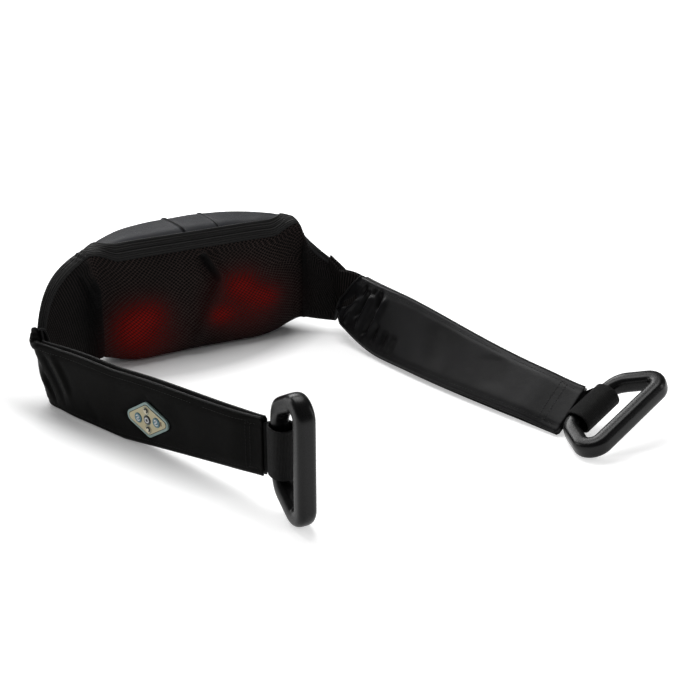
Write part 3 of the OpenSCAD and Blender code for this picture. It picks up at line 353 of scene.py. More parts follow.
class Graph:
    """A node tree with its shader, and short ways to add nodes and to join them."""

    def __init__(self, tree, shader):
        self.nodes, self.link = tree.nodes, tree.links.new
        self.shader = tree.nodes[shader]

    def new(self, kind, **values):
        n = self.nodes.new("ShaderNode" + kind)
        for k, v in values.items():
            setattr(n, k, v)
        return n

    def feed(self, socket, value):
        """Links an output to the socket, or sets the socket's value."""
        if hasattr(value, "is_linked"):
            self.link(value, socket)
        else:
            socket.default_value = value

    def put(self, key, value):
        """Links or sets one of the shader's inputs."""
        self.feed(self.shader.inputs[key], value)

    def wired(self, kind, *values, **settings):
        """The outputs of a new node whose first inputs are linked or set, in order."""
        n = self.new(kind, **settings)
        for socket, v in zip(n.inputs, values):
            self.feed(socket, v)
        return n.outputs

    def op(self, kind, *values):
        return self.wired("Math", *values, operation=kind)[0]

    mul, add, sub = partialmethod(op, "MULTIPLY"), partialmethod(op, "ADD"), partialmethod(op, "SUBTRACT")

    def wave(self, source, rate):
        return self.op("ABSOLUTE", self.op("SINE", self.mul(source, rate)))

    def tex(self, kind, scale, source, **inputs):
        n = self.new("Tex" + kind)
        for k, v in dict(inputs, Scale=scale).items():
            if k in n.inputs:
                n.inputs[k].default_value = v
            else:
                setattr(n, k, v)
        self.link(source, n.inputs["Vector"])
        return n.outputs["Fac" if kind == "Noise" else "Distance"]

    def mapped(self, low, high, source, a=0.0, b=1.0):
        return self.wired("MapRange", source, a, b, low, high)["Result"]

    def mixed(self, fac, a, b):
        n = self.new("Mix", data_type="RGBA")
        self.feed(n.inputs["Factor"], fac)
        for i, v in ((6, a), (7, b)):
            self.feed(n.inputs[i], v if hasattr(v, "is_linked") else (*v, 1.0))
        return n.outputs[2]

    def bump(self, height, strength, distance, normal=None):
        n = self.new("Bump")
        for key, v in (("Strength", strength), ("Distance", distance), ("Height", height), ("Normal", normal)):
            if v is not None:
                self.feed(n.inputs[key], v)
        return n.outputs["Normal"]

    def with_painted_shade(self, color, deep=0.0007):
        """Darkens a colour by the mesh's shade attribute: painted shade in folds, creases and seams."""
        n = self.new("Attribute", attribute_name="painted_shade")
        return self.mixed(n.outputs["Fac"], color, grey(deep))

    def turned(self, source, turn, scale, at=(0.0, 0.0), kind="POINT"):
        """Coordinates moved, turned in degrees and scaled in the plane."""
        spin = (0, 0, math.radians(turn))
        return self.wired("Mapping", source, (*at, 0.0), spin, (*scale, 1.0), vector_type=kind)["Vector"]

    def flat(self, turn, *scale):
        """The mesh's UV, which is in millimetres, turned and scaled."""
        return self.turned(self.new("UVMap", uv_map="UVMap").outputs["UV"], turn, scale)


def new_material(name):
    """A material, its graph, and object coordinates in metres."""
    m = bpy.data.materials.new(name)
    m.use_nodes = True
    g = Graph(m.node_tree, "Principled BSDF")
    return m, g, g.new("TexCoord").outputs["Object"]


def leather_material(name, dark, light, rough, specular):
    """Fine-grained synthetic leather: pebble cells, soft creases, and patchy sheen."""
    m, g, pos = new_material(name)
    patch = g.tex("Noise", 22.0, pos, Detail=4.0, Roughness=0.6)
    fine = g.tex("Noise", 420.0, pos, Detail=3.0)
    cells = g.tex("Voronoi", 900.0, pos, feature="DISTANCE_TO_EDGE")
    crease = g.tex("Noise", 60.0, pos, Detail=5.0, Distortion=1.2)
    color = g.mixed(g.mapped(0, 1, patch, 0.3, 0.75), dark, light)
    g.put("Base Color", g.with_painted_shade(color))
    g.put("Roughness", g.add(g.mapped(rough - 0.05, rough + 0.06, patch, 0.3, 0.7),
                             g.mapped(-0.03, 0.04, fine, 0.3, 0.7)))
    pebbles = g.bump(g.mapped(0, 1, cells, 0.0, 0.25), 0.16, 0.0004)
    g.put("Normal", g.bump(crease, 0.10, 0.002, pebbles))
    g.put("Specular IOR Level", specular)
    return m


def plastic_material(name, color, rough, grain=300.0, strength=0.06, specular=0.5, vary=0.25):
    """Moulded plastic: fine spark texture, and slight colour and gloss variation."""
    m, g, pos = new_material(name)
    patch = g.tex("Noise", 35.0, pos, Detail=3.0)
    fine = g.tex("Noise", grain, pos, Detail=2.0)
    dark, light = (tuple(min(1.0, c * k) for c in color) for k in (1 - vary, 1 + vary))
    g.put("Base Color", g.mixed(patch, dark, light))
    g.put("Roughness", g.mapped(rough - 0.06, rough + 0.06, fine, 0.3, 0.7))
    g.put("Normal", g.bump(fine, strength, 0.0006))
    g.put("Specular IOR Level", specular)
    return m


def metal_material(name, color, rough):
    m, g, pos = new_material(name)
    fine = g.tex("Noise", 500.0, pos, Detail=2.0)
    patch = g.tex("Noise", 60.0, pos, Detail=3.0)
    g.put("Base Color", g.mixed(patch, tuple(c * 0.85 for c in color), color))
    g.put("Roughness", g.mapped(rough - 0.07, rough + 0.07, fine, 0.3, 0.7))
    g.put("Metallic", 1.0)
    return m


def foam_material(name, color):
    m, g, pos = new_material(name)
    cells = g.tex("Voronoi", 700.0, pos)
    g.put("Base Color", g.mixed(cells, color, tuple(c * 0.5 for c in color)))
    g.put("Normal", g.bump(cells, 0.5, 0.0006))
    g.put("Roughness", 0.95)
    return m


CELL_W, CELL_H = 5.4, 4.4
# Painted light: patches where the heat lamps' red light through the knit is painted on.
# Each glow: x, z, its two radii and its level
GLOWS = [(-92, 44, 24, 30, 0.55), (-70, 60, 26, 20, 0.5), (-76, 30, 40, 30, 0.3),
         (22, 44, 17, 13, 0.5), (52, 76, 24, 20, 0.6), (82, 58, 20, 15, 0.45),
         (55, 52, 48, 34, 0.25)]


def knit_material(name):
    """Black spacer knit: slanted rows of small open cells, with the heat lamps' red light through it painted on as
    emission and a red tint.
    """
    m, g, pos = new_material(name)
    x, _, z = g.wired("SeparateXYZ", pos)
    u, v, _ = g.wired("SeparateXYZ", g.flat(0.0, 1 / CELL_W, 1 / CELL_H))
    cell = g.mul(g.wave(g.add(u, v), math.pi), g.wave(g.sub(u, v), math.pi))
    wing = g.mapped(0, 1, g.op("ABSOLUTE", x), 0.137, 0.141)
    rib = g.wave(u, 1.5 * math.pi)
    net = g.mapped(0, 1, cell, 0.20, 0.46)
    hole = g.add(g.mul(net, g.sub(1.0, wing)), g.mul(g.mapped(0, 1, rib, 0.45, 0.8), wing))
    fibre = g.tex("Noise", 900.0, pos, Detail=3.0)
    patch = g.tex("Noise", 14.0, pos, Detail=3.0)
    thread = g.mixed(fibre, (0.024, 0.0165, 0.0152), (0.058, 0.041, 0.037))
    thread = g.mixed(g.mapped(0.0, 0.55, patch, 0.35, 0.7), thread, (0.010, 0.008, 0.0075))
    thread = g.mixed(g.mul(wing, 0.7), thread, grey(0.009))
    color = g.mixed(hole, thread, grey(0.0006))
    g.put("Roughness", 0.8)
    g.put("Specular IOR Level", 0.1)
    g.put("Normal", g.bump(g.sub(1.0, hole), 0.7, 0.0012))
    # Painted light: the lamps' glow as emission in soft patches round the heads, stronger in the open cells.
    total = 0.0
    for gx, gz, rx, rz, level in GLOWS:
        dx = g.mul(g.sub(x, gx * MM), 1 / (rx * MM))
        dz = g.mul(g.sub(z, gz * MM), 1 / (rz * MM))
        r2 = g.add(g.mul(dx, dx), g.mul(dz, dz))
        total = g.add(total, g.mul(g.op("POWER", math.e, g.mul(r2, -1.3)), level))
    mottled = g.mul(total, g.mapped(0.75, 1.2, patch, 0.3, 0.7))
    lit = g.mul(mottled, g.mapped(0.15, 1.1, hole))
    g.put("Emission Strength", g.mul(lit, 0.125))
    g.put("Emission Color", (1.0, 0.012, 0.004, 1.0))
    # Painted light too: the base colour turns dark red where the lamps' glow is painted.
    painted_glow_tint = g.mapped(0.0, 0.85, total, 0.0, 0.5)
    g.put("Base Color", g.mixed(painted_glow_tint, g.with_painted_shade(color), (0.002, 0.0004, 0.0003)))
    return m


def ribbed_material(name, pitch, turn, dark, light, rough, strength=0.7):
    """Ribbed or woven tape: raised ribs across the UV direction, with thread noise."""
    m, g, pos = new_material(name)
    u, v, _ = g.wired("SeparateXYZ", g.flat(turn, 1 / pitch, 1 / pitch))
    rib = g.mapped(0, 1, g.op("SINE", g.mul(v, 2 * math.pi)), -1, 1)
    cross = g.mapped(0, 1, g.op("SINE", g.mul(u, 3.2 * math.pi)), -1, 1)
    fine = g.tex("Noise", 700.0, pos, Detail=3.0)
    height = g.add(rib, g.mul(cross, 0.35))
    # Painted shade and highlight: the colour is darker in the grooves and lighter on the ribs, following their height.
    g.put("Base Color", g.mixed(g.mapped(0.0, 1.0, height, 0.2, 1.2), dark, light))
    g.put("Roughness", g.mapped(rough - 0.08, rough + 0.08, fine, 0.3, 0.7))
    g.put("Normal", g.bump(height, strength, 0.0006))
    g.put("Specular IOR Level", 0.14)
    return m


LEATHER = leather_material("grey_leather", (0.0080, 0.0086, 0.0108), (0.0125, 0.0135, 0.0170), 0.42, 0.075)
# Two copies of one strap leather: the left painted darker with less specular, as its face is in shade, the right
# painted lighter with more specular for its sheen, as its face is lit.
STRAP_LEATHER = {
    -1: leather_material("left_strap_leather_painted_shaded", (0.0018, 0.0017, 0.0015), (0.0031, 0.0029, 0.0026), 0.48, 0.03),
    1: leather_material("right_strap_leather_painted_lit", (0.0036, 0.0036, 0.0040), (0.0064, 0.0064, 0.0074), 0.40, 0.17)}
KNIT = knit_material("front_knit")
TAPE = ribbed_material("zip_tape_weave", 2.9, 0.0, grey(0.0015), (0.020, 0.0195, 0.019), 0.62)
PIPING = ribbed_material("piping_cord", 2.2, 90.0, grey(0.005), grey(0.014), 0.5, 0.35)
WEBBING = ribbed_material("webbing", 1.5, 90.0, grey(0.003), grey(0.010), 0.7)
THREAD = ribbed_material("thread", 0.6, 45.0, grey(0.005), grey(0.014), 0.55, 0.3)
# Colour, roughness, then grain, its bump, specular level and colour variation where they aren't the usual ones
PLASTICS = {
    "satin_black": ((0.0022, 0.0022, 0.0024), 0.29, 1600.0, 0.003, 0.21),
    "pad_teal": ((0.27, 0.38, 0.36), 0.42, 300.0, 0.05, 0.45, 0.12),
    "pad_field": ((0.60, 0.53, 0.33), 0.45, 400.0, 0.05, 0.45, 0.14),
    "key_teal": ((0.085, 0.20, 0.25), 0.38),
    "key_black": ((0.008, 0.008, 0.010), 0.35),
    "key_cream": ((0.78, 0.72, 0.56), 0.42, 400.0, 0.05, 0.45, 0.1),
    "icon_white": ((0.82, 0.84, 0.86), 0.5, 500.0, 0.02, 0.4, 0.06),
    "icon_dark": ((0.02, 0.018, 0.014), 0.5),
    "icon_brown": ((0.17, 0.12, 0.07), 0.5),
    "moulded_case": ((0.045, 0.045, 0.047), 0.5),
    "natural_nylon": ((0.75, 0.72, 0.64), 0.45),
    "solder_mask": ((0.012, 0.085, 0.038), 0.35, 200.0),
    "lamp_board_white": ((0.78, 0.76, 0.72), 0.4, 200.0),
    "board_part_black": (grey(0.015), 0.45),
    "node_red": ((0.34, 0.010, 0.010), 0.25, 200.0, 0.02),
    "lamp_red": ((0.55, 0.012, 0.012), 0.2, 200.0, 0.02),
    "ferrite": (grey(0.06), 0.6),
}
METALS = {"steel": ((0.62, 0.63, 0.65), 0.3), "brass": ((0.70, 0.52, 0.22), 0.35),
          "winding": ((0.55, 0.25, 0.12), 0.4)}
LOOKS = {name: plastic_material(name, *values) for name, values in PLASTICS.items()}
LOOKS.update({name: metal_material(name, *values) for name, values in METALS.items()})
LOOKS["foam"] = foam_material("foam", (0.22, 0.22, 0.21))
NODES_OF_LOOK = {
    "foam": "base_pad left_wing_foam right_wing_foam",
    "moulded_case": "rear_housing front_housing motor_bracket pad_tray left_head_arm right_head_arm",
    "steel": "housing_screws board_screws motor_can motor_shaft left_axle right_axle left_head_screws "
             "right_head_screws pad_domes",
    "brass": "shaft_bushes front_bushes rear_bushes dc_pin",
    "ferrite": "motor_magnets", "winding": "motor_armature",
    "lamp_board_white": "lamp_boards", "lamp_red": "heat_lamps",
    "solder_mask": "main_board pad_board", "board_part_black": "board_parts", "satin_black": "dc_jack",
    "natural_nylon": "left_worm right_worm left_drive_wheel right_drive_wheel",
    "node_red": "left_large_nodes left_small_nodes right_large_nodes right_small_nodes",
    "pad_teal": "pad_bezel", "key_black": "power_button", "key_teal": "left_button right_button",
    "key_cream": "upper_button lower_button",
}
for look, node_names in NODES_OF_LOOK.items():
    for node_name in node_names.split():
        slots = NODES[node_name].data.materials
        for i in range(len(slots)):
            slots[i] = LOOKS[look]
        if not len(slots):
            slots.append(LOOKS[look])


# Camera, floor and light
def look_from(ob, at, target):
    ob.location = at
    ob.rotation_euler = (Vector(target) - Vector(at)).to_track_quat("-Z", "Y").to_euler()


def area_light(name, at, target, size, power):
    data = bpy.data.lights.new(name, "AREA")
    data.shape = "RECTANGLE"
    data.size, data.size_y = size
    data.energy = power
    look_from(new_object(name, data), at, target)


LENS_ANGLE, CAMERA_AT, CAMERA_AIM = 28.0, (-0.5887, -1.5357, 0.6748), (0.1576, -0.1321, 0.0)
camera = bpy.data.cameras.new("camera")
camera.sensor_fit = "HORIZONTAL"
camera.angle = math.radians(LENS_ANGLE)
camera.clip_end = 50.0
scene.camera = new_object("camera", camera)
look_from(scene.camera, CAMERA_AT, CAMERA_AIM)
area_light("overhead", (0.15, 0.35, 1.8), (0.05, -0.2, 0.0), (1.3, 1.0), 22.0)
area_light("back_strip", (0.1, 1.5, 1.3), (0.0, 0.0, 0.1), (1.5, 0.5), 22.0)
area_light("right_strip", (1.5, -1.2, 0.8), (0.0, -0.35, 0.05), (0.3, 1.1), 5.0)
area_light("left_strip", (-1.3, 1.0, 0.7), (0.2, -0.2, 0.05), (0.5, 1.2), 8.0)

FLOOR_HALF, FLOOR_Z = 9000, -0.3
floor_mat, fg, spot = new_material("floor_paper")
fg.put("Base Color", (0.86, 0.86, 0.86, 1.0))
fg.put("Roughness", 0.9)
fg.put("Specular IOR Level", 0.1)
path = fg.new("LightPath").outputs
seen = fg.op("MAXIMUM", path["Is Camera Ray"], fg.op("MAXIMUM", path["Is Glossy Ray"], path["Is Transmission Ray"]))


def floor_glow(at, turn, stretch, near, far, level):
    """Glow that grows with the distance from a point, in stretched and turned floor coordinates."""
    away = fg.wired("VectorMath", fg.turned(spot, turn, (stretch, 1.0), at, "TEXTURE"), operation="LENGTH")["Value"]
    return fg.mapped(0.0, level, away, near, far)


# Painted light on the floor: emission is weak in front of the pillow and along the left strap's front, so their
# shadows show there, and grows to white farther out.
close_glow = fg.op("MINIMUM", floor_glow((-0.03, 0.0), 0.0, 1.6, 0.10, 0.135, 0.40),
                   floor_glow((-0.225, -0.14), -67.5, 6.25, 0.006, 0.052, 0.42))
glow_share = fg.add(close_glow, floor_glow((0.0, -0.02), 0.0, 1.6, 0.30, 0.85, 0.53))
fg.put("Emission Strength", fg.mul(seen, glow_share))
fg.put("Emission Color", (1, 1, 1, 1))
corners = [(x * FLOOR_HALF, y * FLOOR_HALF, FLOOR_Z) for x, y in ((-1, -1), (1, -1), (1, 1), (-1, 1))]
floor = mesh_object("floor", corners, [(0, 1, 2, 3)], floor_mat)

scene.world = bpy.data.worlds.new("studio")
scene.world.use_nodes = True
wg = Graph(scene.world.node_tree, "Background")
wg.put("Color", (1, 1, 1, 1))
path = wg.new("LightPath").outputs
wg.put("Strength", wg.mapped(0.20, 1.0, wg.op("MAXIMUM", path["Is Camera Ray"], path["Is Transmission Ray"])))


# Pillow covers
def cover_grid(places, n_pts, low_angle, high_angle):
    """A grid of the body between two section angles, evenly spaced along each section, and its normals."""
    rows = [resample(section(st, np.linspace(low_angle(st), high_angle(st), SECTION_STEPS)), n_pts)
            for st in map(station, places)]
    p = smooth(np.array(rows), 3)
    return p, -normals(p)


def line_gauss(x, z, p, q, width):
    """Height of a soft ridge along the segment p-q, fading at its ends."""
    d = np.subtract(q, p)
    length = norm(d)
    d = d / length
    along = (x - p[0]) * d[0] + (z - p[1]) * d[1]
    across = -(x - p[0]) * d[1] + (z - p[1]) * d[0]
    end = ramp(along / (0.18 * length) + 0.3) * ramp((length - along) / (0.35 * length) + 0.05)
    return bell(across, width) * end, across


def body_noise(p, size, seed, waves=9):
    """A smooth repeatable height field, from a few slanted waves."""
    rng = np.random.RandomState(seed)
    out = 0.0
    for _ in range(waves):
        k = rng.normal(size=3)
        k = k / norm(k) * 2 * math.pi / (size * rng.uniform(0.7, 1.6))
        out = out + np.sin(p[..., 0] * k[0] + p[..., 1] * k[1] + p[..., 2] * k[2] + rng.uniform(0, 6.28))
    return out / waves


def edge_share(n):
    """0 at both ends of a row of n points, and 1 in its middle."""
    return np.minimum(np.linspace(0, 1, n), np.linspace(1, 0, n))[None, :] * 2


BODY_ROWS, SECTION_STEPS, KNIT_POINTS, LEATHER_POINTS, BAND_POINTS = 260, 240, 84, 120, 22
PLACES = np.linspace(LEFT_S, RIGHT_S, BODY_ROWS)
mesh_p, mesh_n = cover_grid(PLACES, KNIT_POINTS, lambda st: SEAM_LOW, tape_low)
mx, my, mz = np.moveaxis(mesh_p, -1, 0)
s_line = PLACES[:, None]
dent = 0.9 * body_noise(mesh_p, 46.0, 3)
pleat, _ = line_gauss(mx, mz, (2.0, 124.0), (27.0, 80.0), 5.2)
dent += -8.5 * pleat
for ridge, offset in ((2.2, 9.0), (1.4, -9.0)):
    g, across = line_gauss(mx, mz, (3.0, 122.0), (27.0, 78.0), 100.0)
    dent += ridge * g * bell(across - offset, 5.0)
valley, _ = line_gauss(mx, mz, (24.0, 88.0), (-20.0, 6.0), 9.0)
dent += -5.5 * valley
valley2, _ = line_gauss(mx, mz, (-2.0, 128.0), (-22.0, 60.0), 8.0)
dent += -1.6 * valley2
# Painted shade: darker in the pleat and valley, in the knee creases, on the wings beside the knees and in the corner
# fold.
shade = ramp((pleat - 0.15) / 0.45) * 0.96 + 0.4 * ramp(valley / 0.8)
for knee, deep, wide, dark in ((-PILLOW_HALF - 9, 15.0, 13.0, 0.95), (PILLOW_HALF + 4, 10.0, 10.0, 0.8)):
    crease = bell(s_line - knee, wide) * ramp((mz - 4) / 24) * (1 - 0.75 * ramp((mz - 100) / 32))
    dent -= deep * crease
    shade += dark * ramp((crease - 0.15) / 0.6)
for at, wide, dark in ((-PILLOW_HALF - 24, 20.0, 0.85), (PILLOW_HALF + 11, 10.0, 0.5)):
    shade += dark * bell(s_line - at, wide) * (1 - 0.8 * ramp((mz - 75) / 40))
corner, _ = line_gauss(s_line, mz, (-166.0, 128.0), (-152.0, 84.0), 4.0)
dent -= 4.0 * corner
shade = np.clip(shade + 0.7 * corner, 0, 0.97)
dent -= bell(mz - 7.0, 3.0) * (my < -36)
dent *= ramp(edge_share(KNIT_POINTS) / 0.12)
dent = np.where(mz < 3.0, np.minimum(dent, 0) * 0.2, dent)
mesh_front = grid_object("knit_front", raised(mesh_p, mesh_n, dent, 0.0), KNIT, painted_shade=shade)
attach(mesh_front, "pillow")
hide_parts("mesh_cover")

back_places = np.unique(np.concatenate([PLACES, np.arange(-21.0, -7.0, 0.4), np.arange(26.0, 36.0, 0.4)]))
s_back = back_places[:, None]
lea_p, lea_n = cover_grid(back_places, LEATHER_POINTS, tape_high, lambda st: SEAM_LOW - 360.0)
lx, ly, lz = np.moveaxis(lea_p, -1, 0)
puff = 0.8 * body_noise(lea_p, 60.0, 11)
# Painted shade in the grooves of the two crown seams.
seam_shade = 0.0
for at_band, lean, broad in ((-11.0, -0.15, 1.7), (32.0, -0.08, 1.1)):
    d = lx - (at_band + lean * np.clip(ly + 32.0, 0, 45))
    puff += -1.2 * broad * bell(d, broad) + 0.4 * broad * bell(d - 2.0 * broad, broad)
    seam_shade = seam_shade + 0.95 * bell(d, 0.9 * broad)
for knee in (-PILLOW_HALF, PILLOW_HALF):
    puff -= bell(s_back - knee, 7)
puff *= ramp(edge_share(LEATHER_POINTS) / 0.06)
puff = np.where(lz < 2.0, np.minimum(puff, 0) * 0.1, puff)
leather_back = grid_object("leather_back", raised(lea_p, lea_n, puff, 0.0), LEATHER,
                           drop=lambda c: c[1] > 30 and math.hypot(c[0], c[2] - INLET_Z) < INLET_R - 0.4,
                           painted_shade=np.clip(seam_shade, 0, 0.97))
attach(leather_back, "pillow")
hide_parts("rear_cover", "left_wing_foam", "right_wing_foam", "base_pad")

band_p, band_n = cover_grid(PLACES, BAND_POINTS, tape_low, tape_high)
v_line = np.linspace(0, 1, BAND_POINTS)[None, :]
ribs = ((0.3, 0.06, 1.1), (0.5, 0.09, 1.5), (0.7, 0.06, 1.1))
ridge = sum(high * bell(v_line - at, wide) for at, wide, high in ribs)
ridge = ridge + 0.5 * body_noise(band_p, 40.0, 5)
ridge = ridge - 0.9 * bell(v_line - 0.02, 0.06) - 0.9 * bell(v_line - 0.98, 0.06)
crumple = bell(s_line + PILLOW_HALF + 14, 13.0) + 0.5 * bell(s_line - PILLOW_HALF - 8, 8.0)
ridge = ridge + 1.5 * crumple * np.sin(s_line / 1.9 + 4.0 * v_line) * ramp(v_line / 0.2) * ramp((1 - v_line) / 0.2)
zip_band = grid_object("zip_band", band_p + band_n * ridge[..., None], TAPE)
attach(zip_band, "pillow")
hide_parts("zip_tape")
band_length = float(norm(np.diff(band_p[:, BAND_POINTS // 2], axis=0), axis=1).sum()) * MM
band_width = float(norm(np.diff(band_p, axis=1), axis=2).sum(1).mean()) * MM

for name, row, radius, lift in (("upper_piping", -1, 1.7, 0.5), ("lower_piping", 0, 1.3, 0.4)):
    line = band_p[:, row] + band_n[:, row] * lift
    pipe = tube_object(name, line, radius, PIPING, 10)
    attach(pipe, "pillow")

GROMMET_Y = INLET_MOUTH - 0.2
GROMMET_R, GROMMET_ROUND, GROMMET_FLAT, GROMMET_STEPS, GROMMET_SIDES = 6.6, 1.9, 1.1, 40, 12
points = []
for a in TURN * np.arange(GROMMET_STEPS) / GROMMET_STEPS:
    for b in TURN * np.arange(GROMMET_SIDES) / GROMMET_SIDES:
        r = GROMMET_R + GROMMET_ROUND * math.cos(b)
        points.append((r * math.cos(a), GROMMET_Y + GROMMET_FLAT * math.sin(b), INLET_Z + r * math.sin(a)))
faces = grid_faces(GROMMET_STEPS, GROMMET_SIDES, True, True)
grommet = mesh_object("inlet_grommet", points, faces, LOOKS["satin_black"])
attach(grommet, "pillow")


# Straps, by their share t of the length
STRAP_LEN = {side: sum(STRAPS[side]["legs"]) for side in STRAPS}
STRAP_NAMES = {-1: "left", 1: "right"}
MID_T = 0.4


def strap_w(side, t):
    d = STRAPS[side]
    if t < MID_T:
        return lerp(d["root_w"], d["mid_w"], ramp(t / 0.3))
    return lerp(d["mid_w"], STRAP_END_W, ramp((t - MID_T) / (1 - MID_T)))


def half_widths(side, places):
    return np.array([strap_w(side, max(0.0, x / STRAP_LEN[side])) / 2 for x in places])


def strap_half_t(t):
    return lerp(STRAP_T, STRAP_END_T, ramp((t - 0.9) / 0.1)) / 2


def strap_lean(side, t):
    if side < 0:
        return 0.0
    more = RIGHT_LEAN_END - RIGHT_LEAN_MID
    return RIGHT_LEAN_MID * ramp((t - 0.02) / 0.14) + more * ramp((t - 0.16) / 0.84)


def strap_mid_z(side, t):
    u = (t - MID_T) / (1 - MID_T)
    lift = LEFT_LIFT * 1.1 * u * u / (u + 0.1) if side < 0 and u > 0 else 0.0
    lean = strap_lean(side, t)
    return 0.4 + lift + strap_w(side, t) / 2 * cosd(lean) + strap_half_t(t) * sind(lean) * 0.75


def strap_frame(side, t):
    """Centre, up across the width, out through the thickness, and along."""
    d, p0 = STRAPS[side], HINGES[side]
    p1 = p0 + d["legs"][0] * heading(d["head"][0])
    p2 = p1 + d["legs"][1] * heading(d["head"][1])
    p = (1 - t) ** 2 * p0 + 2 * t * (1 - t) * p1 + t * t * p2
    g = unit(2 * (1 - t) * (p1 - p0) + 2 * t * (p2 - p1))
    o = heading(math.degrees(math.atan2(g[1], g[0])) + 90 * side)
    s, c = sind(strap_lean(side, t)), cosd(strap_lean(side, t))
    return np.array([*p, strap_mid_z(side, t)]), np.array([*(o * s), c]), np.array([*(o * c), -s]), np.array([*g, 0.0])


FACE_POINTS, LIP_POINTS, STRAP_ROWS, ROOT_ROWS = 25, 7, 210, 40
ROOT_LIFT, ROOT_LIFT_RUN = 25.0, 165.0
FOLD_ROOM, STITCH_INSET = 11.0, 6.0
LAP = {-1: 9.0, 1: 16.0}
LEFT_SEAM_DROP, SKIN_T, SKIN_LOW_Z = 3.0, 0.6, 0.15


def strap_outline(half_w, half_t, gap, depth, crown):
    """Section of two padded panels with a gap between them at both long edges, as (across, out) points."""
    def panel(sign):
        r = (half_t - gap / 2) / 2
        mid = (half_t + gap / 2) / 2
        pts = [(-half_w + depth, 0.0), (-half_w + 0.6 * depth, gap * 0.4)]
        pts += [(-half_w + r + r * cosd(a), mid + r * sind(a)) for a in np.linspace(-90, -270, LIP_POINTS)]
        for v in np.linspace(-half_w + r, half_w - r, FACE_POINTS)[1:-1]:
            e = min(1.0, (half_w - abs(v)) / 12.0)
            seam = -0.55 * math.exp(-(((half_w - abs(v)) - STITCH_INSET) / 1.2) ** 2)
            pts.append((v, half_t + crown * ramp(e) + seam))
        pts += [(half_w - r + r * cosd(a), mid + r * sind(a)) for a in np.linspace(90, -90, LIP_POINTS)]
        pts.append((half_w - 0.6 * depth, gap * 0.4))
        return [(v, sign * q) for v, q in pts]
    return np.array(panel(1) + [(half_w - depth, 0.0)] + panel(-1)[:0:-1])


def sleeve_rows(side):
    """Rings of a strap's skin, from its bound seam on the wing, round the fold, to the sewn end."""
    length = STRAP_LEN[side]
    wing, hinge = WING_DIR[side], HINGES[side]
    wing_out = heading(90.0 - side * WINGS[side]["turn"])
    rows, marks = [], []
    for d in np.concatenate([np.linspace(-LAP[side], 14, ROOT_ROWS), np.linspace(14, length, STRAP_ROWS)[1:]]):
        t = max(0.0, d / length)
        centre, up, out, _ = strap_frame(side, t)
        half_w, half_t = strap_w(side, t) / 2, strap_half_t(t)
        st = wing_station(side, min(1.0, 1.0 + d / WING_LEN[side]))
        wing_mid, wing_half = mid_and_half(st)
        u = (d + FOLD_ROOM) / (2 * FOLD_ROOM)
        mix = ramp(u)
        if u < 1:
            xy = hinge + d * wing
            if u > 0:
                a = hinge - FOLD_ROOM * wing
                b = strap_frame(side, FOLD_ROOM / length)[0][:2]
                xy = (1 - u) ** 2 * a + 2 * u * (1 - u) * hinge + u * u * b
            o = unit(lerp(wing_out, out[:2], mix))
            centre = np.array([*xy, lerp(wing_mid, centre[2], mix)])
            out = np.array([*o, 0.0])
            up = unit(lerp(np.array([0, 0, 1.0]), up, mix))
            drop = LEFT_SEAM_DROP if side < 0 else 0.0
            centre[2] -= drop * (1 - mix)
            half_w = lerp(wing_half + SKIN_T - drop, half_w, mix)
            half_t = lerp(max(st["front"], WING_END_T / 2) + SKIN_T, half_t, mix)
        open_share = ramp((d - 18) / 40) * ramp((length - 24 - d) / 70)
        gap = 0.5 + (2.6 if side < 0 else 1.8) * open_share
        depth = 2.0 + 10.0 * open_share
        crown = 0.5 + 0.7 * ramp((d - 5) / 40) * ramp((length - d) / 30)
        sec = strap_outline(half_w, half_t, gap, depth, crown)
        pts = centre + sec[:, :1] * up + sec[:, 1:] * out
        if side < 0:
            lean = FOLD_LEAN * (1 - ramp((d - 4) / 70))
            pts[:, :2] += lean * (pts[:, 2:] - FOLD_PIVOT_Z) * wing_out
        else:
            lift = ROOT_LIFT * mix * (1 - ramp(d / ROOT_LIFT_RUN))
            pts[:, 2] += lift * np.clip((0.3 - sec[:, 0] / half_w) / 1.3, 0, 1)
        rows.append(pts)
        marks.append(np.stack([np.full(len(sec), d), sec[:, 0], np.sign(sec[:, 1])], -1))
    return np.array(rows), np.array(marks)


def fold_lines(d, v, lines):
    """Pleats: each line is (d0, v0, d1, v1, width, height) on the flat strap."""
    return sum(height * line_gauss(d, v, (d0, v0), (d1, v1), width)[0] for d0, v0, d1, v1, width, height in lines)


LEFT_FOLDS = [(16, 30, 52, -30, 5.0, -1.6), (30, 34, 66, -24, 5.0, 1.3), (44, 26, 70, -10, 6.0, -0.9),
              (8, 5, 26, -34, 4.0, -1.5), (96, -10, 118, -34, 7.0, -0.6), (230, 22, 262, -24, 12.0, -0.5),
              (-18, 30, 10, 8, 4.0, -1.8), (-12, 12, 14, -20, 4.5, 1.2)]
RIGHT_FOLDS = [(70, 14, 36, -16, 4.5, -5.0), (80, 14, 58, -34, 4.0, 4.6), (98, 26, 86, -18, 4.2, -5.4),
               (108, 26, 100, -30, 4.0, 4.6), (122, 36, 128, 6, 4.0, -5.4), (128, 6, 114, -34, 4.0, -5.0),
               (137, 28, 128, -24, 4.5, 3.8), (140, -6, 138, -34, 4.0, -3.2), (162, -10, 158, -36, 5.0, -2.6),
               (178, -10, 174, -36, 6.0, -1.4), (44, -14, 40, -36, 3.0, -3.0), (52, -10, 48, -36, 3.0, 3.0),
               (64, -16, 60, -36, 3.0, -3.2), (74, -14, 72, -36, 3.0, 2.6), (30, -20, 24, -36, 3.0, 2.6),
               (18, -18, 12, -36, 3.0, -2.6), (88, 34, 80, 16, 3.6, -3.4), (112, 36, 106, 22, 3.4, -3.0),
               (230, 26, 240, -26, 12.0, -0.7), (300, 20, 316, -20, 14.0, -0.6)]
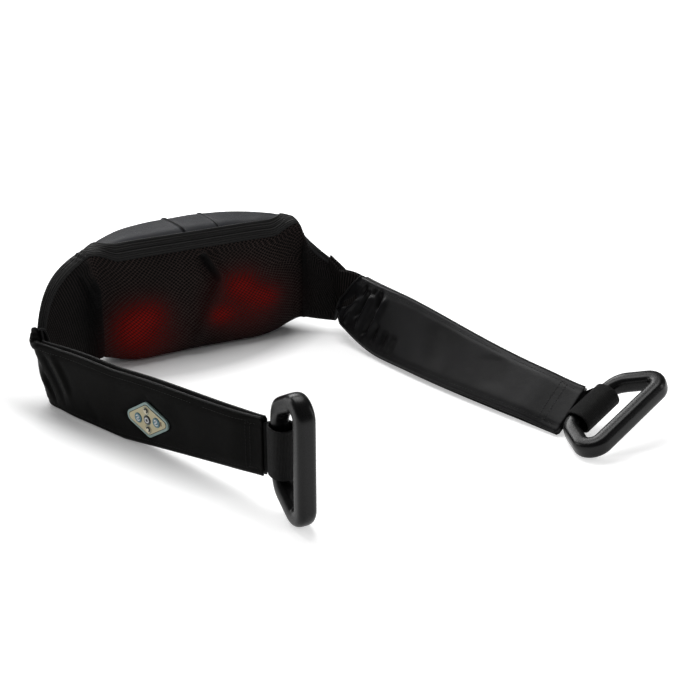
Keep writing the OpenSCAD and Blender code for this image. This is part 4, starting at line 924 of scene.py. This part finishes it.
BLEND_REACH, ROOT_KNIT_SPAN = 10.0, (-13.0, 72.0)
RIGHT_SEAM_LOW, RIGHT_SEAM_TOP, SEAM_FADE = -5.0, 60.0, 115.0


def blend_over(obj):
    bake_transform(obj)


def slanted_start(rows, marks):
    """Moves the first rows along the right strap, so that its bound seam slants."""
    d = marks[:, 0, 0]
    across = marks[np.argmin(np.abs(d)), :, 1]
    share = across / np.abs(across).max()
    source, rows, marks = rows, rows.copy(), marks.copy()
    fade = 1 - ramp((d - d[0]) / SEAM_FADE)
    for j in range(rows.shape[1]):
        at = d + (lerp(RIGHT_SEAM_LOW, RIGHT_SEAM_TOP, (share[j] + 1) / 2) - d[0]) * fade
        marks[:, j, 0] = at
        for i in range(3):
            rows[:, j, i] = np.interp(at, d, source[:, j, i])
    return rows, marks


def strap_skin(side, name, folds, face_sign):
    """A strap's skin with its pleats, the pad's seat and the sewn tip; the right one has a knit root under it."""
    rows, marks = sleeve_rows(side)
    if side > 0:
        place = marks[:, 0, 0]
        keep = (place > ROOT_KNIT_SPAN[0]) & (place < ROOT_KNIT_SPAN[1])
        root = rows[keep]
        n = normals(root)
        n = n * np.sign((n * (root - root.mean(1, keepdims=True))).sum(-1).mean())
        tuck = lerp(2.6, 0.9, ramp((place[keep] + 9.0) / 9.0))
        under = grid_object("right_root_knit", root - tuck[:, None, None] * n, KNIT, close_n=True)
        blend_over(under)
        rows, marks = slanted_start(rows, marks)
    d, v, face = np.moveaxis(marks, -1, 0)
    n = normals(rows)
    n = n * np.sign((n * (rows - rows.mean(1, keepdims=True))).sum(-1, keepdims=True).sum(1, keepdims=True))
    half = half_widths(side, d[:, 0])[:, None]
    inset = ramp((half - np.abs(v) - 4.0) / 10.0)
    h = fold_lines(d, v, folds) * (face == face_sign) * inset
    far_folds = [(a, -b, c, -e, w * 1.3, k * 0.5) for a, b, c, e, w, k in folds]
    h = h + fold_lines(d, v, far_folds) * (face == -face_sign) * inset
    h = h + 0.35 * body_noise(rows, 34.0, 21 + side) * inset
    if side < 0:
        local = rows - PAD_AT
        px, py = local @ PAD_X, local @ PAD_Y
        near = (face == 1) * (1 - ramp((np.abs(px) / (PAD_L / 2 + 4) + np.abs(py) / (PAD_H / 2 + 4) - 1.0) / 0.25))
        h = h * (1 - near) - near * np.maximum(0, local @ PAD_Z + 0.15)
    rows = raised(rows, n, h, SKIN_LOW_Z)
    c = rows[-1].mean(0)
    tip = strap_frame(side, 1.0)[3]
    rows = np.concatenate([rows, [c + (rows[-1] - c) * 0.97 + tip * 1.2], [c + (rows[-1] - c) * 0.86 + tip * 1.8]])
    # Painted shade in the pleat valleys and in the pad's seat.
    shade = np.clip(-(h - 0.4) / 2.6, 0, 0.92)
    shade = np.concatenate([shade, shade[-1:], shade[-1:]])
    skin = grid_object(name, rows, STRAP_LEATHER[side], close_n=True, caps=("end",), flip=side < 0, painted_shade=shade)
    return skin, rows, marks, n


TAPE_LOW_Z, FIRST_STITCH_ROW = 1.5, 36
for side, folds, face in ((-1, LEFT_FOLDS, 1), (1, RIGHT_FOLDS, -1)):
    name = STRAP_NAMES[side]
    skin, rows, marks, n = strap_skin(side, name + "_strap_skin", folds, face)
    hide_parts(name + "_strap_cover", name + "_strap_foam")
    blend_over(skin)
    hem_line = np.concatenate([rows[0], rows[0][:1]])
    hem_line[:, 2] = np.maximum(hem_line[:, 2], TAPE_LOW_Z)
    hem = tube_object(name + "_bound_seam", hem_line, 1.3, PIPING, 8, caps=())
    blend_over(hem)
    if side < 0:
        crest = np.array([r[np.argmax(r[:, 2])] for r, m in zip(rows, marks) if m[0, 0] < 44])
        girth = np.interp(np.linspace(0, 1, len(crest)), [0.0, 0.05, 0.14, 0.5, 1.0], [2.0, 5.2, 6.8, 4.6, 1.4])
        crest[:, 2] -= girth * 0.6
        roll = tube_object("left_fold_roll", smooth(crest, 6), girth, STRAP_LEATHER[side], 14)
        blend_over(roll)
    parts = []
    count = rows.shape[0] - 2
    middle = count // 2
    half = half_widths(side, marks[:, 0, 0])
    for sign, face_name in ((-1, "inner"), (1, "outer")):
        for edge, edge_name in ((-1, "low"), (1, "top")):
            sel = np.where(marks[middle, :, 2] == sign)[0]
            j = sel[np.argmax(edge * marks[middle, sel, 1])]
            line = smooth(rows[1:count, j], 2)
            line[:, 2] = np.maximum(line[:, 2], TAPE_LOW_Z)
            binding = tube_object("%s_binding_%s_%s" % (name, face_name, edge_name), line, 1.35, PIPING, 8)
            blend_over(binding)
            line, facing = [], []
            for i in range(FIRST_STITCH_ROW, count - 2):
                sel = np.where(marks[i, :, 2] == sign)[0]
                j = sel[np.argmin(np.abs(marks[i, sel, 1] - edge * (half[i] - STITCH_INSET)))]
                line.append(rows[i, j])
                facing.append(n[i, j])
            parts += stitch_parts(line, facing)
    for sign in (-1, 1):
        for row in (count - 8, count - 11):
            sel = np.where((marks[row, :, 2] == sign) & (np.abs(marks[row, :, 1]) < LOOP_W / 2))[0]
            parts += stitch_parts(rows[row, sel], n[row, sel], pitch=3.6, length=2.5)
    thread = join_parts(name + "_strap_stitches", parts, THREAD)
    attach(thread, name + "_strap")

# Hand rings
BAR_TURN, GRIP_TURN = 90.0 - RING_SPREAD, 90.0 + RING_SPREAD
BAR_CUT = BAR_CORNER_R * tand(BAR_TURN / 2)
GRIP_CUT = GRIP_CORNER_R * tand(GRIP_TURN / 2)
GRIP_HALF = RING_LEN / 2 - RING_T / 2 - GRIP_CORNER_R + GRIP_CUT
BAR_HALF = GRIP_HALF - RING_REACH * tand(RING_SPREAD)
RING_SIDES = 48
BAR_STRAIGHT, GRIP_STRAIGHT = BAR_HALF - BAR_CUT, GRIP_HALF - GRIP_CUT


def ring_line():
    half = [(0.0, z, 180.0, 0.0) for z in np.linspace(0, BAR_STRAIGHT, 10)]
    for i in range(1, 19):
        a = 180.0 - BAR_TURN * i / 18
        half.append((BAR_CORNER_R * (1 + cosd(a)), BAR_STRAIGHT + BAR_CORNER_R * sind(a), a, ramp(i / 18)))
    for a in np.linspace(180.0 - BAR_TURN, 0, 30):
        x = RING_REACH - GRIP_CORNER_R + GRIP_CORNER_R * cosd(a)
        half.append((x, GRIP_STRAIGHT + GRIP_CORNER_R * sind(a), a, 1.0))
    half += [(RING_REACH, z, 0.0, 1.0) for z in np.linspace(GRIP_STRAIGHT, 0, 14)[1:]]
    return half + [(x, -z, -a, k) for x, z, a, k in half[-2:0:-1]]


def ring_object(side, at, a, b):
    name = STRAP_NAMES[side]
    y = np.cross(a, b)
    line = ring_line()
    rows = []
    for x, z, ang, k in line:
        phi = np.linspace(0, TURN, RING_SIDES, endpoint=False)
        power = 2.0 / lerp(2.0, RING_POWER, k)
        q = lerp(BAR_R, RING_T / 2, k) * spow(np.cos(phi), power)
        d = lerp(BAR_R, RING_DEPTH / 2, k) * spow(np.sin(phi), power)
        px = x + q * cosd(ang)
        pz = z + q * sind(ang)
        rows.append(at + px[:, None] * b + d[:, None] * y + pz[:, None] * a)
    faces = grid_faces(len(line), RING_SIDES, True, True)
    ob = mesh_object(name + "_ring", np.array(rows).reshape(-1, 3), faces, LOOKS["satin_black"])
    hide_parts(name + "_handle")
    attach(ob, name + "_ring")


ring_object(-1, np.array([*LEFT_BAR[:2], RING_LEN / 2]), LEFT_A, LEFT_B)
ring_object(1, RIGHT_BAR, RIGHT_A, RIGHT_B)


# Webbing loops
LOOP_ROWS = 110


def loop_object(side, bar, axis, toward):
    """Webbing sewn in the strap's end: out on one layer, round the bar, and back on the other."""
    centre, up, out, along = strap_frame(side, 1.0)
    if np.dot(axis, up) < 0:
        axis = -axis
    across = np.cross(axis, toward)
    if np.dot(across, out) < 0:
        across = -across
    r = LOOP_R + WEB_T / 2
    layer = WEB_T * 0.62
    sewn, turns = np.linspace(-9, 2, 5), np.linspace(155, -155, 60)
    pts = [centre + along * f + out * layer for f in sewn]
    for a in turns:
        c, s = cosd(a), sind(a)
        slack = LOOP_SEAT + LOOP_SLACK * ramp(0.5 + c * 1.5)
        pts.append(bar + toward * (slack + r * c) + across * r * s)
    pts = np.array(pts + [centre + along * f - out * layer for f in sewn[::-1]])
    wid = np.array([up] * len(sewn) + [axis] * len(turns) + [up] * len(sewn))
    d = run_length(pts)
    widths = np.array([unit(at_length(x, d, wid)) for x in np.linspace(0, d[-1], LOOP_ROWS)])
    mids = smooth(resample(pts, LOOP_ROWS), 4)
    tang = np.gradient(mids, axis=0)
    tang /= norm(tang, axis=1, keepdims=True)
    nrm = np.cross(tang, widths)
    nrm /= norm(nrm, axis=1, keepdims=True)
    hw, ht = LOOP_W / 2, WEB_T / 2
    prof = [(v, ht * (1 - 0.12 * math.cos(v * 0.9) ** 2)) for v in np.linspace(-hw + 1, hw - 1, 21)]
    prof += [(hw - 0.3, ht * 0.8), (hw, 0.0), (hw - 0.3, -ht * 0.8)]
    prof += [(v, -ht) for v in np.linspace(hw - 1, -hw + 1, 21)]
    prof += [(-hw + 0.3, -ht * 0.8), (-hw, 0.0), (-hw + 0.3, ht * 0.8)]
    prof = np.array(prof)
    rows = mids[:, None] + prof[None, :, :1] * widths[:, None] + prof[None, :, 1:] * nrm[:, None]
    name = STRAP_NAMES[side]
    ob = grid_object(name + "_web_loop", rows, WEBBING, close_n=True, caps=("start", "end"))
    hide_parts(name + "_loop")
    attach(ob, name + "_strap")


loop_object(-1, LEFT_BAR, LEFT_A, LEFT_B)
loop_object(1, RIGHT_BAR + RIGHT_LOOP_SHIFT * RIGHT_A, RIGHT_A, RIGHT_B)


# Control pad
def pad_point(x, y, z):
    return PAD_AT + x * PAD_X + y * PAD_Y + z * PAD_Z


def rhombus(inset, steps=10):
    l, h = PAD_L / 2 - PAD_CORNER, PAD_H / 2 - PAD_CORNER
    s = math.degrees(math.atan2(l, h))
    r = PAD_CORNER - inset
    corners = ((l, 0, -s, s), (0, h, s, 180 - s), (-l, 0, 180 - s, 180 + s), (0, -h, 180 + s, 360 - s))
    return [(x + r * cosd(a), y + r * sind(a)) for x, y, a0, a1 in corners for a in np.linspace(a0, a1, steps)]


BUTTONS = {"power_key": (0.0, 0.0, 5.0), "left_key": (-14.3, 0.0, 5.2), "right_key": (14.3, 0.0, 5.2),
           "upper_key": (0.0, 10.4, 4.0), "lower_key": (0.0, -10.4, 4.0)}


def flat_plate(name, outlines, z0, z1, look):
    """A plate in the pad's plane from closed outlines, the first outside and the rest holes."""
    curve = bpy.data.curves.new(name, "CURVE")
    curve.dimensions = "2D"
    curve.fill_mode = "BOTH"
    for pts in outlines:
        sp = curve.splines.new("POLY")
        sp.points.add(len(pts) - 1)
        for q, (x, y) in zip(sp.points, pts):
            q.co = (x, y, 0, 1)
        sp.use_cyclic_u = True
    curve.extrude = (z1 - z0) / 2
    curve.bevel_depth = 0.12
    curve.bevel_resolution = 2
    tmp = new_object(name + "_curve", curve)
    me = bpy.data.meshes.new_from_object(tmp.evaluated_get(bpy.context.evaluated_depsgraph_get()))
    bpy.data.objects.remove(tmp)
    pts = [pad_point(v.co.x, v.co.y, v.co.z + (z0 + z1) / 2) for v in me.vertices]
    faces = [tuple(p.vertices) for p in me.polygons]
    ob = mesh_object(name, pts, faces, LOOKS[look], smooth_shade=False)
    bpy.data.meshes.remove(me)
    return ob


def circle_pts(x, y, r, n=36):
    return [(x + r * math.cos(TURN * i / n), y + r * math.sin(TURN * i / n)) for i in range(n)]


holes = [circle_pts(x, y, r + 0.75) for x, y, r in BUTTONS.values()]
field = flat_plate("pad_field", [rhombus(3.0)] + holes, BEZEL_T + 0.02, BEZEL_T + 0.22, "pad_field")
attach(field, "left_strap")
border = rhombus(2.9)
line = np.array([pad_point(x, y, BEZEL_T + 0.05) for x, y in border + border[:1]])
rim = tube_object("pad_rim_line", line, 0.4, LOOKS["icon_dark"], 8, caps=())
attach(rim, "left_strap")


def icon(name, path, radius, key, look, closed=True):
    pts = [pad_point(x, y, BEZEL_T + BUTTON_PROUD + 0.02) for x, y in path]
    if closed:
        pts.append(pts[0])
    ob = tube_object(name, np.array(pts), radius, LOOKS[look], 8, caps=() if closed else ("start", "end"))
    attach(ob, key)


icon("power_icon", circle_pts(0, 0, 2.5), 0.7, "power_key", "icon_white")
for key in ("left_key", "right_key"):
    x = BUTTONS[key][0]
    swirl = [(x - 0.4 + 1.9 * cosd(a), 1.2 + 1.7 * sind(a)) for a in np.linspace(170, -60, 18)]
    swirl += [(x + 0.4 - 1.9 * cosd(a), -1.2 - 1.7 * sind(a)) for a in np.linspace(-60, 170, 18)]
    icon(key + "_icon", swirl, 0.55, key, "icon_white", closed=False)
for key in ("upper_key", "lower_key"):
    y = BUTTONS[key][1]
    arc = [(0.3 + 2.2 * cosd(a), y + 0.3 + 2.2 * sind(a)) for a in np.linspace(-60, 150, 20)]
    icon(key + "_icon", arc, 1.0, key, "icon_dark", closed=False)
mark_outline = [(20.6, -2.2), (22.6, -2.2), (22.6, 2.2), (20.6, 2.2)]
mark = flat_plate("pad_mark", [mark_outline], BEZEL_T + 0.2, BEZEL_T + 0.34, "icon_brown")
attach(mark, "left_strap")
